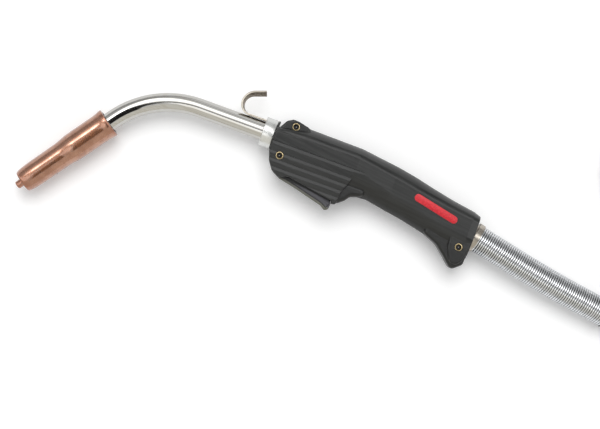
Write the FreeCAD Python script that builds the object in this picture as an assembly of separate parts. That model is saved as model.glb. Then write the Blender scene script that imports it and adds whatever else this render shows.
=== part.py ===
import FreeCAD
import Part

import math
import os

from FreeCAD import Placement, Rotation, Vector

# A 400 A MIG welding torch, lying on its right side on a table. Millimetres.
# X runs back along the handle, Y away from the trigger, Z up from the table.
# The gun tube's axis is Y = 0, and X = 0 is the trigger pin's station.

# General
WALL = 3.0                  # moulded handle wall
FIT = 0.05                  # clearance of a seated piece, on each side
RUN = 0.08                  # clearance of a sliding or turning piece, on each side
BODY_GAP = 0.4              # gap between faces that move past each other
BROAD = 20.0                # half thickness of the handle at its broadest
HOUSING_HALF = 19.88        # half thickness of the trigger housing under it
Z_MID = BROAD               # height of the parting plane above the table

# Gun tube (neck)
TUBE_R = 9.525              # jacket outside, 3/4 in tube
JACKET_WALL = 1.3
CONDUCTOR_R = 6.35
CONDUCTOR_BORE_R = 3.5
LINER_R = 2.3
LINER_BORE_R = 1.1
BEND_R = 95.0
BEND_ANGLE = 54.5
BEND_START_X = -104.9
JACKET_REAR_X = -13.0
INSULATION_REAR_X = -10.0
CONDUCTOR_REAR_X = 10.0
LINER_REAR_X = 44.0
JACKET_END_S = 34.0         # S runs along the nozzle's axis from the end of the bend
CONDUCTOR_END_S = 44.0

# Nozzle group
NOZZLE_REAR_S = 5.7
NOZZLE_LENGTH = 105.0
NOZZLE_REAR_R = 15.2
NOZZLE_BARREL_R = 14.4
NOZZLE_FRONT_R = 12.9
NOZZLE_MOUTH_R = 11.05
NOZZLE_BORE_R = 7.95        # 5/8 in mouth
INSULATOR_R = 12.0
INSULATOR_START_S = 8.0
INSULATOR_LENGTH = 22.0
RING_WIDTH = 2.4
DIFFUSER_R = 8.0
DIFFUSER_NOSE_R = 6.6
DIFFUSER_START_S = 36.0
DIFFUSER_LIP = 1.5          # socket round the tip, past its thread
GAS_HOLES = 4
GAS_HOLE_R = 1.2
TIP_R = 3.97                # 5/16 in tip
TIP_LENGTH = 38.0
TIP_STICKOUT = 6.7
TIP_BORE_R = 0.65           # for 1.2 mm wire
TIP_THREAD_R = 3.2
TIP_THREAD_LENGTH = 9.0

# Collar and hanging hook
COLLAR_R = 15.0
COLLAR_FRONT_X = -38.0
COLLAR_LENGTH = 12.0
COLLAR_CHAMFER = 0.6
SPIGOT_R = 12.0
SPIGOT_LENGTH = 14.0
HOOK_WIDTH = 9.0
HOOK_THICK = 2.0
HOOK_R1 = 10.0              # inside turn away from the tube
HOOK_R2 = 12.5              # return turn
HOOK_TURN2 = 70.0
HOOK_BEND_X = -57.0
HOOK_TAIL = 11.5
HOOK_SEAT = 18.0            # degrees round the tube, from its side towards its top
HOOK_LEAN = 30.0            # degrees that the curl leans the other way
HOOK_IN_COLLAR = 7.0

# Handle
FRONT_X = -25.6
REAR_X = 195.0
FLANGE_R = 14.9             # round rim behind the collar
FLANGE_THICK = 1.6
TOP_FLAT = 10.0
BEVEL_TURN = 12.0           # degrees that each half of the bevel bends
RIDGE_ROUND = 3.0           # from the ridge to each end of its rounding
PALM_BULGE = 0.105          # share of the chord
GRIP_HALF = 18.0
HOUSING_FILLET = 2.0
WEB_HALF = 15.5
BUMP_HALF = 14.0
POMMEL_HALF = 13.5
LAND_HALF = 16.5
RIBS = 5
RIB_TOP_Y = -5.0
FIRST_RIB = 9.5
RIB_PITCH = 7.5
RIB_RISE = 3.6              # from a rib's upper groove down to its crest
RIB_CROWN = 0.9
CREST_ROUND = 1.0
RIB_GROOVE = 0.7
RIB_GROOVE_DEPTH = 0.5
POST_WALL = 1.5
SEAT_RIB = 2.5

# Handle fasteners
SCREW_R = 2.0
SCREW_HEAD_R = 3.6
SCREW_HEAD = 2.6
NUT_R = 3.75
NUT_LENGTH = 10.0
NUT_SUNK = 1.6
NUT_RECESS_R = 4.4
HEX_R = 2.75
HEX_DEPTH = 3.0
FASTENERS = [(-7.9, 14.6, BUMP_HALF), (-13.7, -17.8, HOUSING_HALF), (184.1, -42.5, LAND_HALF)]

# Trigger and switch
TRIGGER_HALF = 11.0
TRIGGER_FILLET = 0.9
TRIGGER_SIDE_GAP = 1.6
TRIGGER_LINE = 0.9          # groove between the lever's face and its rim
PIVOT_Y = -29.0
PIN_R = 2.0
PIN_BOSS_R = 5.0
NOSE_R = 3.0
SWITCH_LENGTH = 20.0
SWITCH_HEIGHT = 10.0
SWITCH_THICK = 6.4
SWITCH_X = 12.0
SWITCH_Y = -27.5
PLUNGER_R = 1.6
PLUNGER_PROUD = 2.7
TERMINAL_LENGTH = 4.0
LEAD_R = 0.9

# Conductor block and cable
BLOCK_R = 11.0
BLOCK_FRONT_X = -8.0
BLOCK_LENGTH = 40.0
CRIMP_SPIGOT_R = 7.5
CRIMP_LENGTH = 20.0
CRIMP_WALL = 2.0
SET_SCREW_R = 2.5
CABLE_D = 20.0
CABLE_SIDES = 12
COIL_SIDES = 6
HANDLE_CABLE = [(54.0, 0.0, 20.0), (84.0, -1.4, 20.0), (114.0, -8.5, 20.0), (143.0, -15.94, 20.0),
                (172.0, -22.0, 20.0)]
FREE_CABLE = [(172.0, -22.0, 20.0), (216.0, -31.2, 19.9), (262.0, -41.0, 18.9), (303.0, -48.4, 17.3),
              (340.0, -53.4, 15.3), (365.0, -58.4, 13.6), (387.3, -67.0, 11.6),
              (406.5, -78.2, 10.6)]
FLOOR_GAP = 0.6             # free cable above the table
LAY_GAP = 0.6               # between neighbouring turns of the put-away coil
COIL_X = 510.7
COIL_Y = -9.8
COIL_R = 118.0              # outermost turn, to its centre
COIL_START = 232.0          # degrees round the coil
COIL_END = 90.0
COIL_TURNS = 5 - (COIL_START - COIL_END) / 360
TAIL = [(449.5, 105.8, 28.7), (427.5, 102.8, 25.2), (405.5, 100.0, 21.6)]
TAIL_END_RUN = 20.0
TAIL_HEADING = 186.0        # the connector's direction, degrees

# Strain relief
EXIT_X = 195.0
FERRULE_R = 14.9
FERRULE_OUT = 6.0
FERRULE_IN = 14.0
FERRULE_NECK_R = 12.5
CLAMP_R = 13.0
CLAMP_LENGTH = 8.0
SPRING_R = 14.25
SPRING_WIRE = 1.7
SPRING_PITCH = 2.3
SPRING_TURNS = 67
SPRING_START = 2.6          # inside the ferrule's cup, behind the handle's rear face

# Badge
BADGE_LENGTH = 48.5
BADGE_WIDTH = 7.6
BADGE_X = 149.9
BADGE_Y = -14.5
BADGE_TILT = -12.0
BADGE_THICK = 1.4
BADGE_SUNK = 0.8

# Cable connector
BOOT_LENGTH = 25.0
BOOT_R = 15.5
BOOT_REAR_R = 12.6
BOOT_POCKET = 10.0
CASE_R = 21.0
CASE_LENGTH = 44.0
CASE_WALL = 2.5
COUPLING_R = 19.5
COUPLING_LENGTH = 22.0
COUPLING_BORE_R = 15.0
COUPLING_FLUTES = 12
FLUTE_R = 2.4
PLUG_BODY_R = 13.4
PLUG_BODY_LENGTH = 17.0
PLUG_PIN_R = 5.9
PLUG_PIN_LENGTH = 28.0
O_RING = 1.6
CONTACT_R = 1.6
CONTACT_SPREAD = 9.6


# Small helpers for outlines, turned pieces and places
def outline(start, *steps):
    """A closed face in XY: a step is a point, or an arc's middle and end."""
    edges = []
    here = Vector(*start, 0)
    for step in steps:
        if isinstance(step[0], tuple):
            middle, end = (Vector(*p, 0) for p in step)
            edges.append(Part.Arc(here, middle, end).toShape())
        else:
            end = Vector(*step, 0)
            edges.append(Part.LineSegment(here, end).toShape())
        here = end
    edges.append(Part.LineSegment(here, Vector(*start, 0)).toShape())
    return Part.Face(Part.Wire(edges))


def rounded(corners):
    """A closed wire in XY through corners (x, y, radius), each corner an arc of its radius."""
    edges = []
    ends = []
    for i, (x, y, radius) in enumerate(corners):
        corner = Vector(x, y, 0)
        back = Vector(*corners[i - 1][:2], 0) - corner
        ahead = Vector(*corners[(i + 1) % len(corners)][:2], 0) - corner
        half = back.getAngle(ahead) / 2
        reach = min(radius / math.tan(half), 0.48 * back.Length, 0.48 * ahead.Length)
        back.normalize()
        ahead.normalize()
        middle = (back + ahead).normalize() * (reach / math.cos(half) * (1 - math.sin(half)))
        ends.append((corner + back * reach, corner + middle, corner + ahead * reach))
    for i, (start, middle, end) in enumerate(ends):
        edges.append(Part.Arc(start, middle, end).toShape())
        edges.append(Part.LineSegment(end, ends[(i + 1) % len(ends)][0]).toShape())
    return Part.Wire(edges)


def plate(corners, half, inset=0.0, fillet=0.0):
    """A plate centred on the parting plane, drawn in by inset, its rims rounded."""
    wire = rounded(corners)
    if inset:
        wire = wire.makeOffset2D(-inset)
    depth = half - inset
    wire.translate(Vector(0, 0, Z_MID - depth))
    solid = Part.Face(wire).extrude(Vector(0, 0, 2 * depth))
    if fillet:
        rims = [e for e in solid.Edges if abs(abs(e.CenterOfMass.z - Z_MID) - depth) < 1e-6]
        solid = solid.makeFillet(fillet, rims)
    return solid


def slab(x0, x1, y0, y1, z0, z1):
    return Part.makeBox(x1 - x0, y1 - y0, z1 - z0, Vector(x0, y0, z0))


def rod(radius, x0, x1, y=0.0, z=Z_MID):
    """A cylinder along X."""
    return Part.makeCylinder(radius, x1 - x0, Vector(x0, y, z), Vector(1, 0, 0))


def post(radius, x, y, z0, z1):
    """A cylinder along Z."""
    return Part.makeCylinder(radius, z1 - z0, Vector(x, y, z0))


def turned(start, *steps):
    """A profile of (along X, radius) points, turned about X."""
    return outline(start, *steps).revolve(Vector(0, 0, 0), Vector(1, 0, 0), 360)


def at_place(shape, x, y, z, heading):
    """Moves a piece made along X from the origin to a point, to head that way in the XY plane."""
    placed = shape.copy()
    placed.Placement = Placement(Vector(x, y, z), Rotation(Vector(0, 0, 1), heading))
    return placed


# The neck's path, and places along the nozzle's axis
NOZZLE_HEADING = 180.0 + BEND_ANGLE
BEND_END = Vector(BEND_START_X - BEND_R * math.sin(math.radians(BEND_ANGLE)),
                  -BEND_R * (1 - math.cos(math.radians(BEND_ANGLE))), Z_MID)
NOZZLE_DIRECTION = Vector(math.cos(math.radians(NOZZLE_HEADING)),
                          math.sin(math.radians(NOZZLE_HEADING)), 0)


def on_nozzle(shape):
    return at_place(shape, BEND_END.x, BEND_END.y, BEND_END.z, NOZZLE_HEADING)


def neck_rod(radius, rear_x, end_s):
    """A round bar along the neck: straight, round the bend, and on to end_s."""
    bend_start = Vector(BEND_START_X, 0, Z_MID)
    half = math.radians(BEND_ANGLE / 2)
    middle = bend_start + Vector(-BEND_R * math.sin(half), -BEND_R * (1 - math.cos(half)), 0)
    path = Part.Wire([
        Part.LineSegment(Vector(rear_x, 0, Z_MID), bend_start).toShape(),
        Part.Arc(bend_start, middle, BEND_END).toShape(),
        Part.LineSegment(BEND_END, BEND_END + NOZZLE_DIRECTION * end_s).toShape(),
    ])
    circle = Part.Wire(Part.makeCircle(radius, Vector(rear_x, 0, Z_MID), Vector(1, 0, 0)))
    return path.makePipeShell([circle], True, False)


def neck_tube(outer, inner, rear_x, end_s):
    return neck_rod(outer, rear_x, end_s).cut(neck_rod(inner, rear_x, end_s))


# Gun tube
def gun_tube_jacket():
    return neck_tube(TUBE_R, TUBE_R - JACKET_WALL, JACKET_REAR_X, JACKET_END_S)


def gun_tube_insulation():
    outer = TUBE_R - JACKET_WALL - FIT
    return neck_tube(outer, CONDUCTOR_R + FIT, INSULATION_REAR_X, JACKET_END_S)


def gun_tube_conductor():
    return neck_tube(CONDUCTOR_R, CONDUCTOR_BORE_R, CONDUCTOR_REAR_X, CONDUCTOR_END_S)


def wire_liner():
    return neck_tube(LINER_R, LINER_BORE_R, LINER_REAR_X, tip_rear_s() - 1.0)


# Nozzle group
def nozzle_end_s():
    return NOZZLE_REAR_S + NOZZLE_LENGTH


def tip_rear_s():
    return nozzle_end_s() + TIP_STICKOUT - TIP_LENGTH


def gas_nozzle():
    s0, s1 = NOZZLE_REAR_S, nozzle_end_s()
    slip = INSULATOR_R + RUN
    rear, barrel, front, mouth = NOZZLE_REAR_R, NOZZLE_BARREL_R, NOZZLE_FRONT_R, NOZZLE_MOUTH_R
    shoulder = s0 + 0.39 * NOZZLE_LENGTH
    shoulder_end = s0 + 0.56 * NOZZLE_LENGTH
    taper = s1 - 16.0
    middle = ((shoulder + shoulder_end) / 2, (barrel + front + 0.1) / 2)
    drop = (barrel - front) / 2
    body = turned(
        (s0, slip), (s0, rear - 0.6), (s0 + 0.6, rear), (s0 + 3.0, rear), (s0 + 6.5, rear - 0.5),
        (s0 + 14.0, barrel), (shoulder, barrel),
        ((shoulder + 5.0, barrel - 0.22 * drop), middle),
        ((shoulder_end - 5.0, front + 0.3 * drop), (shoulder_end, front + 0.1)),
        (taper, front - 0.1),
        ((s1 - 6.0, front - 0.75), (s1 - 0.8, mouth + 0.1)), (s1, mouth - 0.6),
        (s1, NOZZLE_BORE_R), (s1 - 14.0, NOZZLE_BORE_R), (s1 - 30.0, front - 2.6),
        (shoulder_end, front - 2.6), (shoulder, slip),
    )
    return on_nozzle(body)


def nozzle_insulator():
    s0 = INSULATOR_START_S
    s1 = s0 + INSULATOR_LENGTH
    inner, outer = TUBE_R + FIT, INSULATOR_R
    ring0 = s0 + INSULATOR_LENGTH / 2 - RING_WIDTH / 2
    ring1 = ring0 + RING_WIDTH
    groove = outer - 1.2
    body = turned(
        (s0, inner), (s0, outer - 0.8), (s0 + 0.8, outer), (ring0, outer), (ring0, groove),
        (ring1, groove), (ring1, outer), (s1 - 0.8, outer), (s1, outer - 0.8), (s1, inner),
    )
    return on_nozzle(body)


def nozzle_retaining_ring():
    """A split spring ring in the insulator's groove, which grips the nozzle."""
    s0 = INSULATOR_START_S + INSULATOR_LENGTH / 2 - RING_WIDTH / 2 + FIT
    inner = INSULATOR_R - 1.2 + FIT
    ring = turned((s0, inner), (s0, INSULATOR_R), (s0 + RING_WIDTH - 2 * FIT, INSULATOR_R),
                  (s0 + RING_WIDTH - 2 * FIT, inner))
    gap = slab(s0 - 1, s0 + RING_WIDTH + 1, -1.0, 1.0, 0.0, INSULATOR_R + 1)
    return on_nozzle(ring.cut(gap))


def gas_diffuser():
    s0 = DIFFUSER_START_S
    socket = CONDUCTOR_END_S + FIT
    tip_rear = tip_rear_s() - FIT
    s1 = tip_rear + TIP_THREAD_LENGTH + DIFFUSER_LIP
    body = turned(
        (s0, CONDUCTOR_R + FIT), (s0, DIFFUSER_R - 0.6), (s0 + 0.6, DIFFUSER_R),
        (s0 + 24.0, DIFFUSER_R), (s0 + 28.0, DIFFUSER_NOSE_R), (s1 - 1.0, DIFFUSER_NOSE_R),
        (s1, DIFFUSER_NOSE_R - 1.0), (s1, TIP_R + FIT),
        (tip_rear + TIP_THREAD_LENGTH, TIP_R + FIT),
        (tip_rear + TIP_THREAD_LENGTH, TIP_THREAD_R + FIT), (tip_rear, TIP_THREAD_R + FIT),
        (tip_rear, CONDUCTOR_BORE_R - 0.6), (socket, CONDUCTOR_BORE_R - 0.6),
        (socket, CONDUCTOR_R + FIT),
    )
    hole_s = (s0 + 28.0 + tip_rear) / 2
    for i in range(GAS_HOLES):
        hole = Part.makeCylinder(GAS_HOLE_R, 3 * DIFFUSER_R, Vector(hole_s, 0, 0), Vector(0, 0, 1))
        hole.rotate(Vector(hole_s, 0, 0), Vector(1, 0, 0), 45 + i * 360 / GAS_HOLES)
        body = body.cut(hole)
    return on_nozzle(body)


def contact_tip():
    s0 = tip_rear_s()
    s1 = s0 + TIP_LENGTH
    thread = s0 + TIP_THREAD_LENGTH
    body = turned(
        (s0, TIP_BORE_R + 0.9), (s0, TIP_THREAD_R), (thread, TIP_THREAD_R), (thread, TIP_R),
        (s1 - 1.2, TIP_R), (s1, TIP_R - 1.0), (s1, TIP_BORE_R), (s0 + 2.0, TIP_BORE_R),
    )
    return on_nozzle(body)


# Collar and hook
def front_collar():
    x0 = COLLAR_FRONT_X
    x1 = x0 + COLLAR_LENGTH
    x2 = x1 + SPIGOT_LENGTH
    bore = TUBE_R + FIT
    body = turned(
        (x0, bore), (x0, COLLAR_R - COLLAR_CHAMFER), (x0 + COLLAR_CHAMFER, COLLAR_R),
        (x1 - COLLAR_CHAMFER, COLLAR_R), (x1, COLLAR_R - COLLAR_CHAMFER), (x1, SPIGOT_R),
        (x2 - 0.8, SPIGOT_R), (x2, SPIGOT_R - 0.8), (x2, bore),
    )
    body = at_place(body, 0, 0, Z_MID, 0)
    half = HOOK_WIDTH / 2 + FIT
    slot = slab(x0 - 1, x0 + HOOK_IN_COLLAR + FIT, 0, TUBE_R + HOOK_THICK + 3 * FIT,
                Z_MID - half, Z_MID + half)
    slot.rotate(Vector(0, 0, Z_MID), Vector(1, 0, 0), HOOK_SEAT)
    return body.cut(slot)


def hook_stations():
    """Places along the hook's centre line, each with its heading and its lean."""
    reach = TUBE_R + 2 * FIT + HOOK_THICK / 2
    y0 = reach * math.cos(math.radians(HOOK_SEAT))
    z0 = Z_MID + reach * math.sin(math.radians(HOOK_SEAT))
    spots = [(COLLAR_FRONT_X + HOOK_IN_COLLAR, y0, 180.0), (HOOK_BEND_X, y0, 180.0)]
    centre = (HOOK_BEND_X, y0 + HOOK_R1)
    for turn in (30, 60, 90):
        a = math.radians(270 - turn)
        spots.append((centre[0] + HOOK_R1 * math.cos(a), centre[1] + HOOK_R1 * math.sin(a),
                      180.0 - turn))
    x, y, _ = spots[-1]
    centre = (x + HOOK_R2, y)
    for i in range(1, 4):
        turn = HOOK_TURN2 * i / 3
        a = math.radians(180 - turn)
        spots.append((centre[0] + HOOK_R2 * math.cos(a), centre[1] + HOOK_R2 * math.sin(a),
                      90.0 - turn))
    x, y, heading = spots[-1]
    a = math.radians(heading)
    spots.append((x + HOOK_TAIL * math.cos(a), y + HOOK_TAIL * math.sin(a), heading))
    stations = []
    for i, (x, y, heading) in enumerate(spots):
        share = min(1.0, max(0, i - 1) / (len(spots) - 3))
        lean = -HOOK_SEAT + (HOOK_SEAT + HOOK_LEAN) * share
        stations.append((x, y, z0 + (Z_MID - z0) * share, heading, lean))
    return stations


def hanger_hook():
    """A flat strap bent to a hook: a loft through its turned and slowly leaning section."""
    wires = []
    for x, y, z, heading, lean in hook_stations():
        a, b = math.radians(heading), math.radians(lean)
        ahead = Vector(math.cos(a), math.sin(a), 0)
        width = Vector(0.3 * max(0.0, math.sin(b)), math.sin(b), math.cos(b))
        width = (width - ahead * width.dot(ahead)).normalize() * (HOOK_WIDTH / 2)
        thick = width.cross(ahead).normalize() * (HOOK_THICK / 2)
        centre = Vector(x, y, z)
        corners = [centre - thick - width, centre + thick - width,
                   centre + thick + width, centre - thick + width]
        wires.append(Part.makePolygon(corners + corners[:1]))
    straight = Part.makeLoft(wires[:2], True, True)
    curved = Part.makeLoft(wires[1:], True, False)
    return straight.fuse(curved)


# Handle shells
# Grip stations: x, top, ridge, crease, bottom, half thickness
GRIP = [(FRONT_X, 9.0, 6.0, -5.0, -17.0, 18.0), (-14.0, 12.5, 8.2, -5.0, -28.0, 18.9),
        (4.0, 17.6, 8.8, -5.0, -30.0, BROAD), (62.0, 17.0, 9.0, -5.2, -31.0, BROAD),
        (82.0, 14.5, 6.4, -10.0, -29.6, 19.0), (102.0, 12.0, 3.0, -14.7, -33.0, GRIP_HALF),
        (122.0, 8.5, -0.4, -19.3, -36.3, GRIP_HALF), (142.0, 4.0, -3.9, -23.7, -40.5, GRIP_HALF),
        (164.0, -0.4, -7.2, -27.6, -46.0, GRIP_HALF), (188.0, -4.0, -10.0, -30.4, -50.0, GRIP_HALF),
        (REAR_X, -6.4, -11.0, -31.2, -51.0, GRIP_HALF - 1.0)]
HOUSING = [(FRONT_X, 6.0, 2.0), (FRONT_X, -15.0, 10.0), (-22.0, -26.0, 12.0),
           (-16.0, -34.5, 9.0), (-8.0, -38.5, 3.0), (0.0, -34.5, 9.0), (7.0, -35.5, 9.0),
           (50.0, -42.5, 1.0), (50.5, -45.0, 0.8), (54.6, -45.0, 2.0), (56.4, -30.0, 20.0),
           (61.5, -17.0, 10.0), (60.0, -3.0, 2.0), (54.0, 6.0, 2.0)]
WEB = [(30.0, -20.0, 3.0), (30.0, -37.5, 1.5), (56.0, -43.0, 3.0), (62.0, -38.0, 5.0),
       (66.0, -32.5, 6.0), (78.0, -28.5, 6.0), (78.0, -20.0, 3.0)]
BUMP = [(-22.2, 6.0, 1.0), (-22.2, 10.4, 1.5), (-18.4, 17.4, 6.0), (-12.4, 20.8, 4.0),
        (-6.0, 20.4, 6.0), (8.0, 17.2, 6.0), (8.0, 6.0, 1.0)]
POMMEL = [(146.0, -20.0, 4.0), (146.0, -41.0, 4.0), (162.0, -47.5, 14.0), (172.0, -55.5, 10.0),
          (184.0, -66.5, 5.0), (194.0, -58.0, 5.0), (REAR_X, -38.0, 12.0), (REAR_X, -14.0, 4.0)]
LAND = [(172.0, -30.0, 3.0), (173.0, -46.0, 6.0), (180.5, -59.5, 5.0), (187.0, -60.5, 4.0),
        (191.8, -55.0, 6.0), (REAR_X - 0.5, -40.0, 12.0), (REAR_X - 0.5, -28.0, 3.0)]


def grip_section(x, top, ridge, crease, bottom, half, inset):
    """The grip across: a flat crest, bevels to a ridge, flat sides to a crease, a round palm."""
    top, bottom, half = top - inset, bottom + inset, half - inset
    crest = TOP_FLAT / 2 - 0.4 * inset
    ridge = min(ridge, top - 1.0)
    foot = half / 3
    z = Z_MID

    def spot(y, side):
        return Vector(x, y, z + side)

    def arc(y0, z0, y1, z1, out):
        across = math.hypot(y1 - y0, z1 - z0)
        my = (y0 + y1) / 2 + out * abs(z1 - z0) / across * (1 if y0 + y1 > top + bottom else -1)
        mz = (z0 + z1) / 2 + out * abs(y1 - y0) / across * (1 if z0 + z1 > 0 else -1)
        return Part.Arc(spot(y0, z0), spot(my, mz), spot(y1, z1)).toShape()

    palm = PALM_BULGE * math.hypot(crease - bottom, half - foot)
    lean = math.atan2(half - crest, top - ridge) - math.radians(BEVEL_TURN)
    start, side = ridge + RIDGE_ROUND * math.cos(lean), half - RIDGE_ROUND * math.sin(lean)
    chord = math.atan2(side - crest, top - start)
    bevel = math.hypot(side - crest, top - start) / 2 * math.tan((chord - lean) / 2)
    near = RIDGE_ROUND * math.tan(lean / 4)
    middle = (ridge - near * math.sin(lean / 2), half - near * math.cos(lean / 2))

    def rounding(sign):
        points = [spot(start, sign * side), spot(middle[0], sign * middle[1]),
                  spot(ridge - RIDGE_ROUND, sign * half)]
        return Part.Arc(*points[::sign]).toShape()

    edges = [
        Part.LineSegment(spot(top, -crest), spot(top, crest)).toShape(),
        arc(top, crest, start, side, bevel),
        rounding(1),
        Part.LineSegment(spot(ridge - RIDGE_ROUND, half), spot(crease, half)).toShape(),
        arc(crease, half, bottom, foot, palm),
        Part.LineSegment(spot(bottom, foot), spot(bottom, -foot)).toShape(),
        arc(bottom, -foot, crease, -half, palm),
        Part.LineSegment(spot(crease, -half), spot(ridge - RIDGE_ROUND, -half)).toShape(),
        rounding(-1),
        arc(start, -side, top, -crest, bevel),
    ]
    return Part.Wire(edges)


def handle_form(inset):
    """The whole handle as one solid, drawn in by inset for the hollow inside."""
    stations = [list(s) for s in GRIP]
    stations[0][0] += inset
    stations[-1][0] -= inset
    grip = Part.makeLoft([grip_section(*s, inset) for s in stations], True, True)
    fillet = 0.0 if inset else HOUSING_FILLET
    parts = [plate(HOUSING, HOUSING_HALF, inset, fillet), plate(WEB, WEB_HALF, inset, 2 * fillet),
             plate(POMMEL, POMMEL_HALF, inset, 2 * fillet)]
    if not inset:
        parts += [plate(BUMP, BUMP_HALF, 0.0, HOUSING_FILLET),
                  plate(LAND, LAND_HALF, 0.0, HOUSING_FILLET),
                  rod(FLANGE_R, FRONT_X, FRONT_X + FLANGE_THICK)]
    return grip.multiFuse(parts).removeSplitter()


def rib_grooves():
    """What is cut away between and over the roof-shaped ribs, on both sides of the housing."""
    length = HOUSING[11][0] - FRONT_X + 14.0
    deep = -RIB_CROWN - RIB_GROOVE_DEPTH
    tools = []
    y0 = RIB_TOP_Y
    for i in range(RIBS):
        y1 = y0 - (RIB_PITCH if i else FIRST_RIB)
        crest = y0 - RIB_RISE
        up, down = RIB_CROWN / RIB_RISE, RIB_CROWN / (crest - y1)
        roof = outline((y0, -RIB_CROWN), (crest + CREST_ROUND, -up * CREST_ROUND),
                       ((crest, -(up + down) / 4 * CREST_ROUND),
                        (crest - CREST_ROUND, -down * CREST_ROUND)),
                       (y1, -RIB_CROWN), (y1, 1.0), (y0, 1.0))
        line = outline((y0 - RIB_GROOVE, 0.5), (y0 - RIB_GROOVE, deep), (y0, deep), (y0, 0.5))
        for face in (roof, line):
            tool = face.extrude(Vector(0, 0, length))
            tool.Placement = Placement(Vector(FRONT_X - 4.0, 0, Z_MID + HOUSING_HALF),
                                       Rotation(Vector(0, 1, 0), Vector(0, 0, 1),
                                                Vector(1, 0, 0), "ZXY"))
            tools += [tool, tool.mirror(Vector(0, 0, Z_MID), Vector(0, 0, 1))]
        y0 = y1
    return tools


def seats(hollow):
    """Cross ribs and pads that hold the inner pieces, trimmed to the hollow."""
    x0, x1 = BLOCK_FRONT_X + 3.0, BLOCK_FRONT_X + BLOCK_LENGTH - 12.0
    ribs = [slab(x, x + SEAT_RIB, lead_y() + LEAD_R + 0.5, 40.0, -10.0, 50.0)
            for x in (x0, x1)]
    pad = slab(SWITCH_X + 1.0, SWITCH_X + SWITCH_LENGTH - 1.0, SWITCH_Y + 1.0,
               SWITCH_Y + SWITCH_HEIGHT - 1.0, -10.0, 50.0)
    ribs.append(pad)
    clamp_x = cable_clamp_x()
    ribs.append(slab(clamp_x - SEAT_RIB, clamp_x, -60.0, 10.0, -10.0, 50.0))
    return Part.makeCompound(ribs).common(hollow)


def cable_clamp_x():
    """Where the rib in front of the clamp ends, clear of the tilted ring."""
    lean = math.radians(-exit_line()[2])
    return REAR_X - (FERRULE_IN + CLAMP_LENGTH + 1.5) * math.cos(lean) - CLAMP_R * math.sin(lean)


def exit_line():
    """A point on the cable's axis at the rear face, and the axis heading."""
    (x0, y0, _), (x1, y1, _) = FREE_CABLE[:2]
    slope = (y1 - y0) / (x1 - x0)
    return EXIT_X, y0 + slope * (EXIT_X - x0), math.degrees(math.atan(slope))


def along_exit(shape):
    x, y, heading = exit_line()
    return at_place(shape, x, y, Z_MID, heading)


def handle_shells():
    hollow = handle_form(WALL)
    body = handle_form(0.0).cut(hollow)
    posts = []
    for x, y, half in FASTENERS:
        posts.append(post(NUT_R + FIT + POST_WALL, x, y, Z_MID - half + 1.0, Z_MID + half - 1.0))
    boss = post(PIN_BOSS_R, 0.0, PIVOT_Y, Z_MID - BROAD + 1.0, Z_MID + BROAD - 1.0)
    body = body.multiFuse(posts + [boss, seats(hollow)])
    slot = TRIGGER_HALF + TRIGGER_SIDE_GAP
    cuts = [rod(SPIGOT_R + RUN, FRONT_X - 1.0, COLLAR_FRONT_X + COLLAR_LENGTH + SPIGOT_LENGTH + 1.0),
            rod(BLOCK_R + FIT, COLLAR_FRONT_X + COLLAR_LENGTH + SPIGOT_LENGTH,
                BLOCK_FRONT_X + BLOCK_LENGTH + 2.0),
            slab(SWITCH_X - FIT, SWITCH_X + SWITCH_LENGTH + FIT, SWITCH_Y - FIT,
                 SWITCH_Y + SWITCH_HEIGHT + FIT, Z_MID - SWITCH_THICK / 2 - FIT,
                 Z_MID + SWITCH_THICK / 2 + FIT),
            slab(-10.5, 52.5, -60.0, PIVOT_Y + 7.5, Z_MID - slot, Z_MID + slot).cut(
                slab(SWITCH_X - 1.0, SWITCH_X + SWITCH_LENGTH + 1.0, SWITCH_Y + 0.5, 0.0, 0.0, 40.0)),
            post(PIN_R + FIT, 0.0, PIVOT_Y, Z_MID - BROAD + 3.0, Z_MID + BROAD - 3.0),
            along_exit(Part.makeCylinder(FERRULE_NECK_R + FIT, FERRULE_IN + 4.0,
                                         Vector(-FERRULE_IN, 0, 0), Vector(1, 0, 0))),
            along_exit(Part.makeCylinder(CABLE_D / 2 + 0.3, FERRULE_IN + 20.0,
                                         Vector(-FERRULE_IN - 20.0, 0, 0), Vector(1, 0, 0))),
            along_exit(Part.makeCylinder(FERRULE_R + FIT, 20.0, Vector(0, 0, 0),
                                         Vector(1, 0, 0))),
            badge(BADGE_WIDTH / 2 + FIT, BADGE_LENGTH + 2 * FIT, BADGE_SUNK)]
    cuts += rib_grooves()
    for x, y, half in FASTENERS:
        cuts.append(post(NUT_RECESS_R, x, y, Z_MID + half - NUT_SUNK - 0.4, Z_MID + half + 2.0))
        cuts.append(post(NUT_R + FIT, x, y, Z_MID + half - NUT_SUNK - NUT_LENGTH, Z_MID + half))
        cuts.append(post(SCREW_R + 0.2, x, y, 0.0, Z_MID + half))
        cuts.append(post(SCREW_HEAD_R + 0.3, x, y, -1.0, Z_MID - half + SCREW_HEAD + 1.0))
    shells = []
    for z0, z1 in ((Z_MID, 2 * Z_MID + 1.0), (-1.0, Z_MID)):
        shell = body.common(slab(FRONT_X - 5.0, REAR_X + 5.0, -90.0, 60.0, z0, z1))
        for tool in cuts:
            shell = shell.cut(tool)
        shells.append(largest(shell))
    return shells


def largest(shape):
    return max(shape.Solids, key=lambda s: s.Volume)


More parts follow.
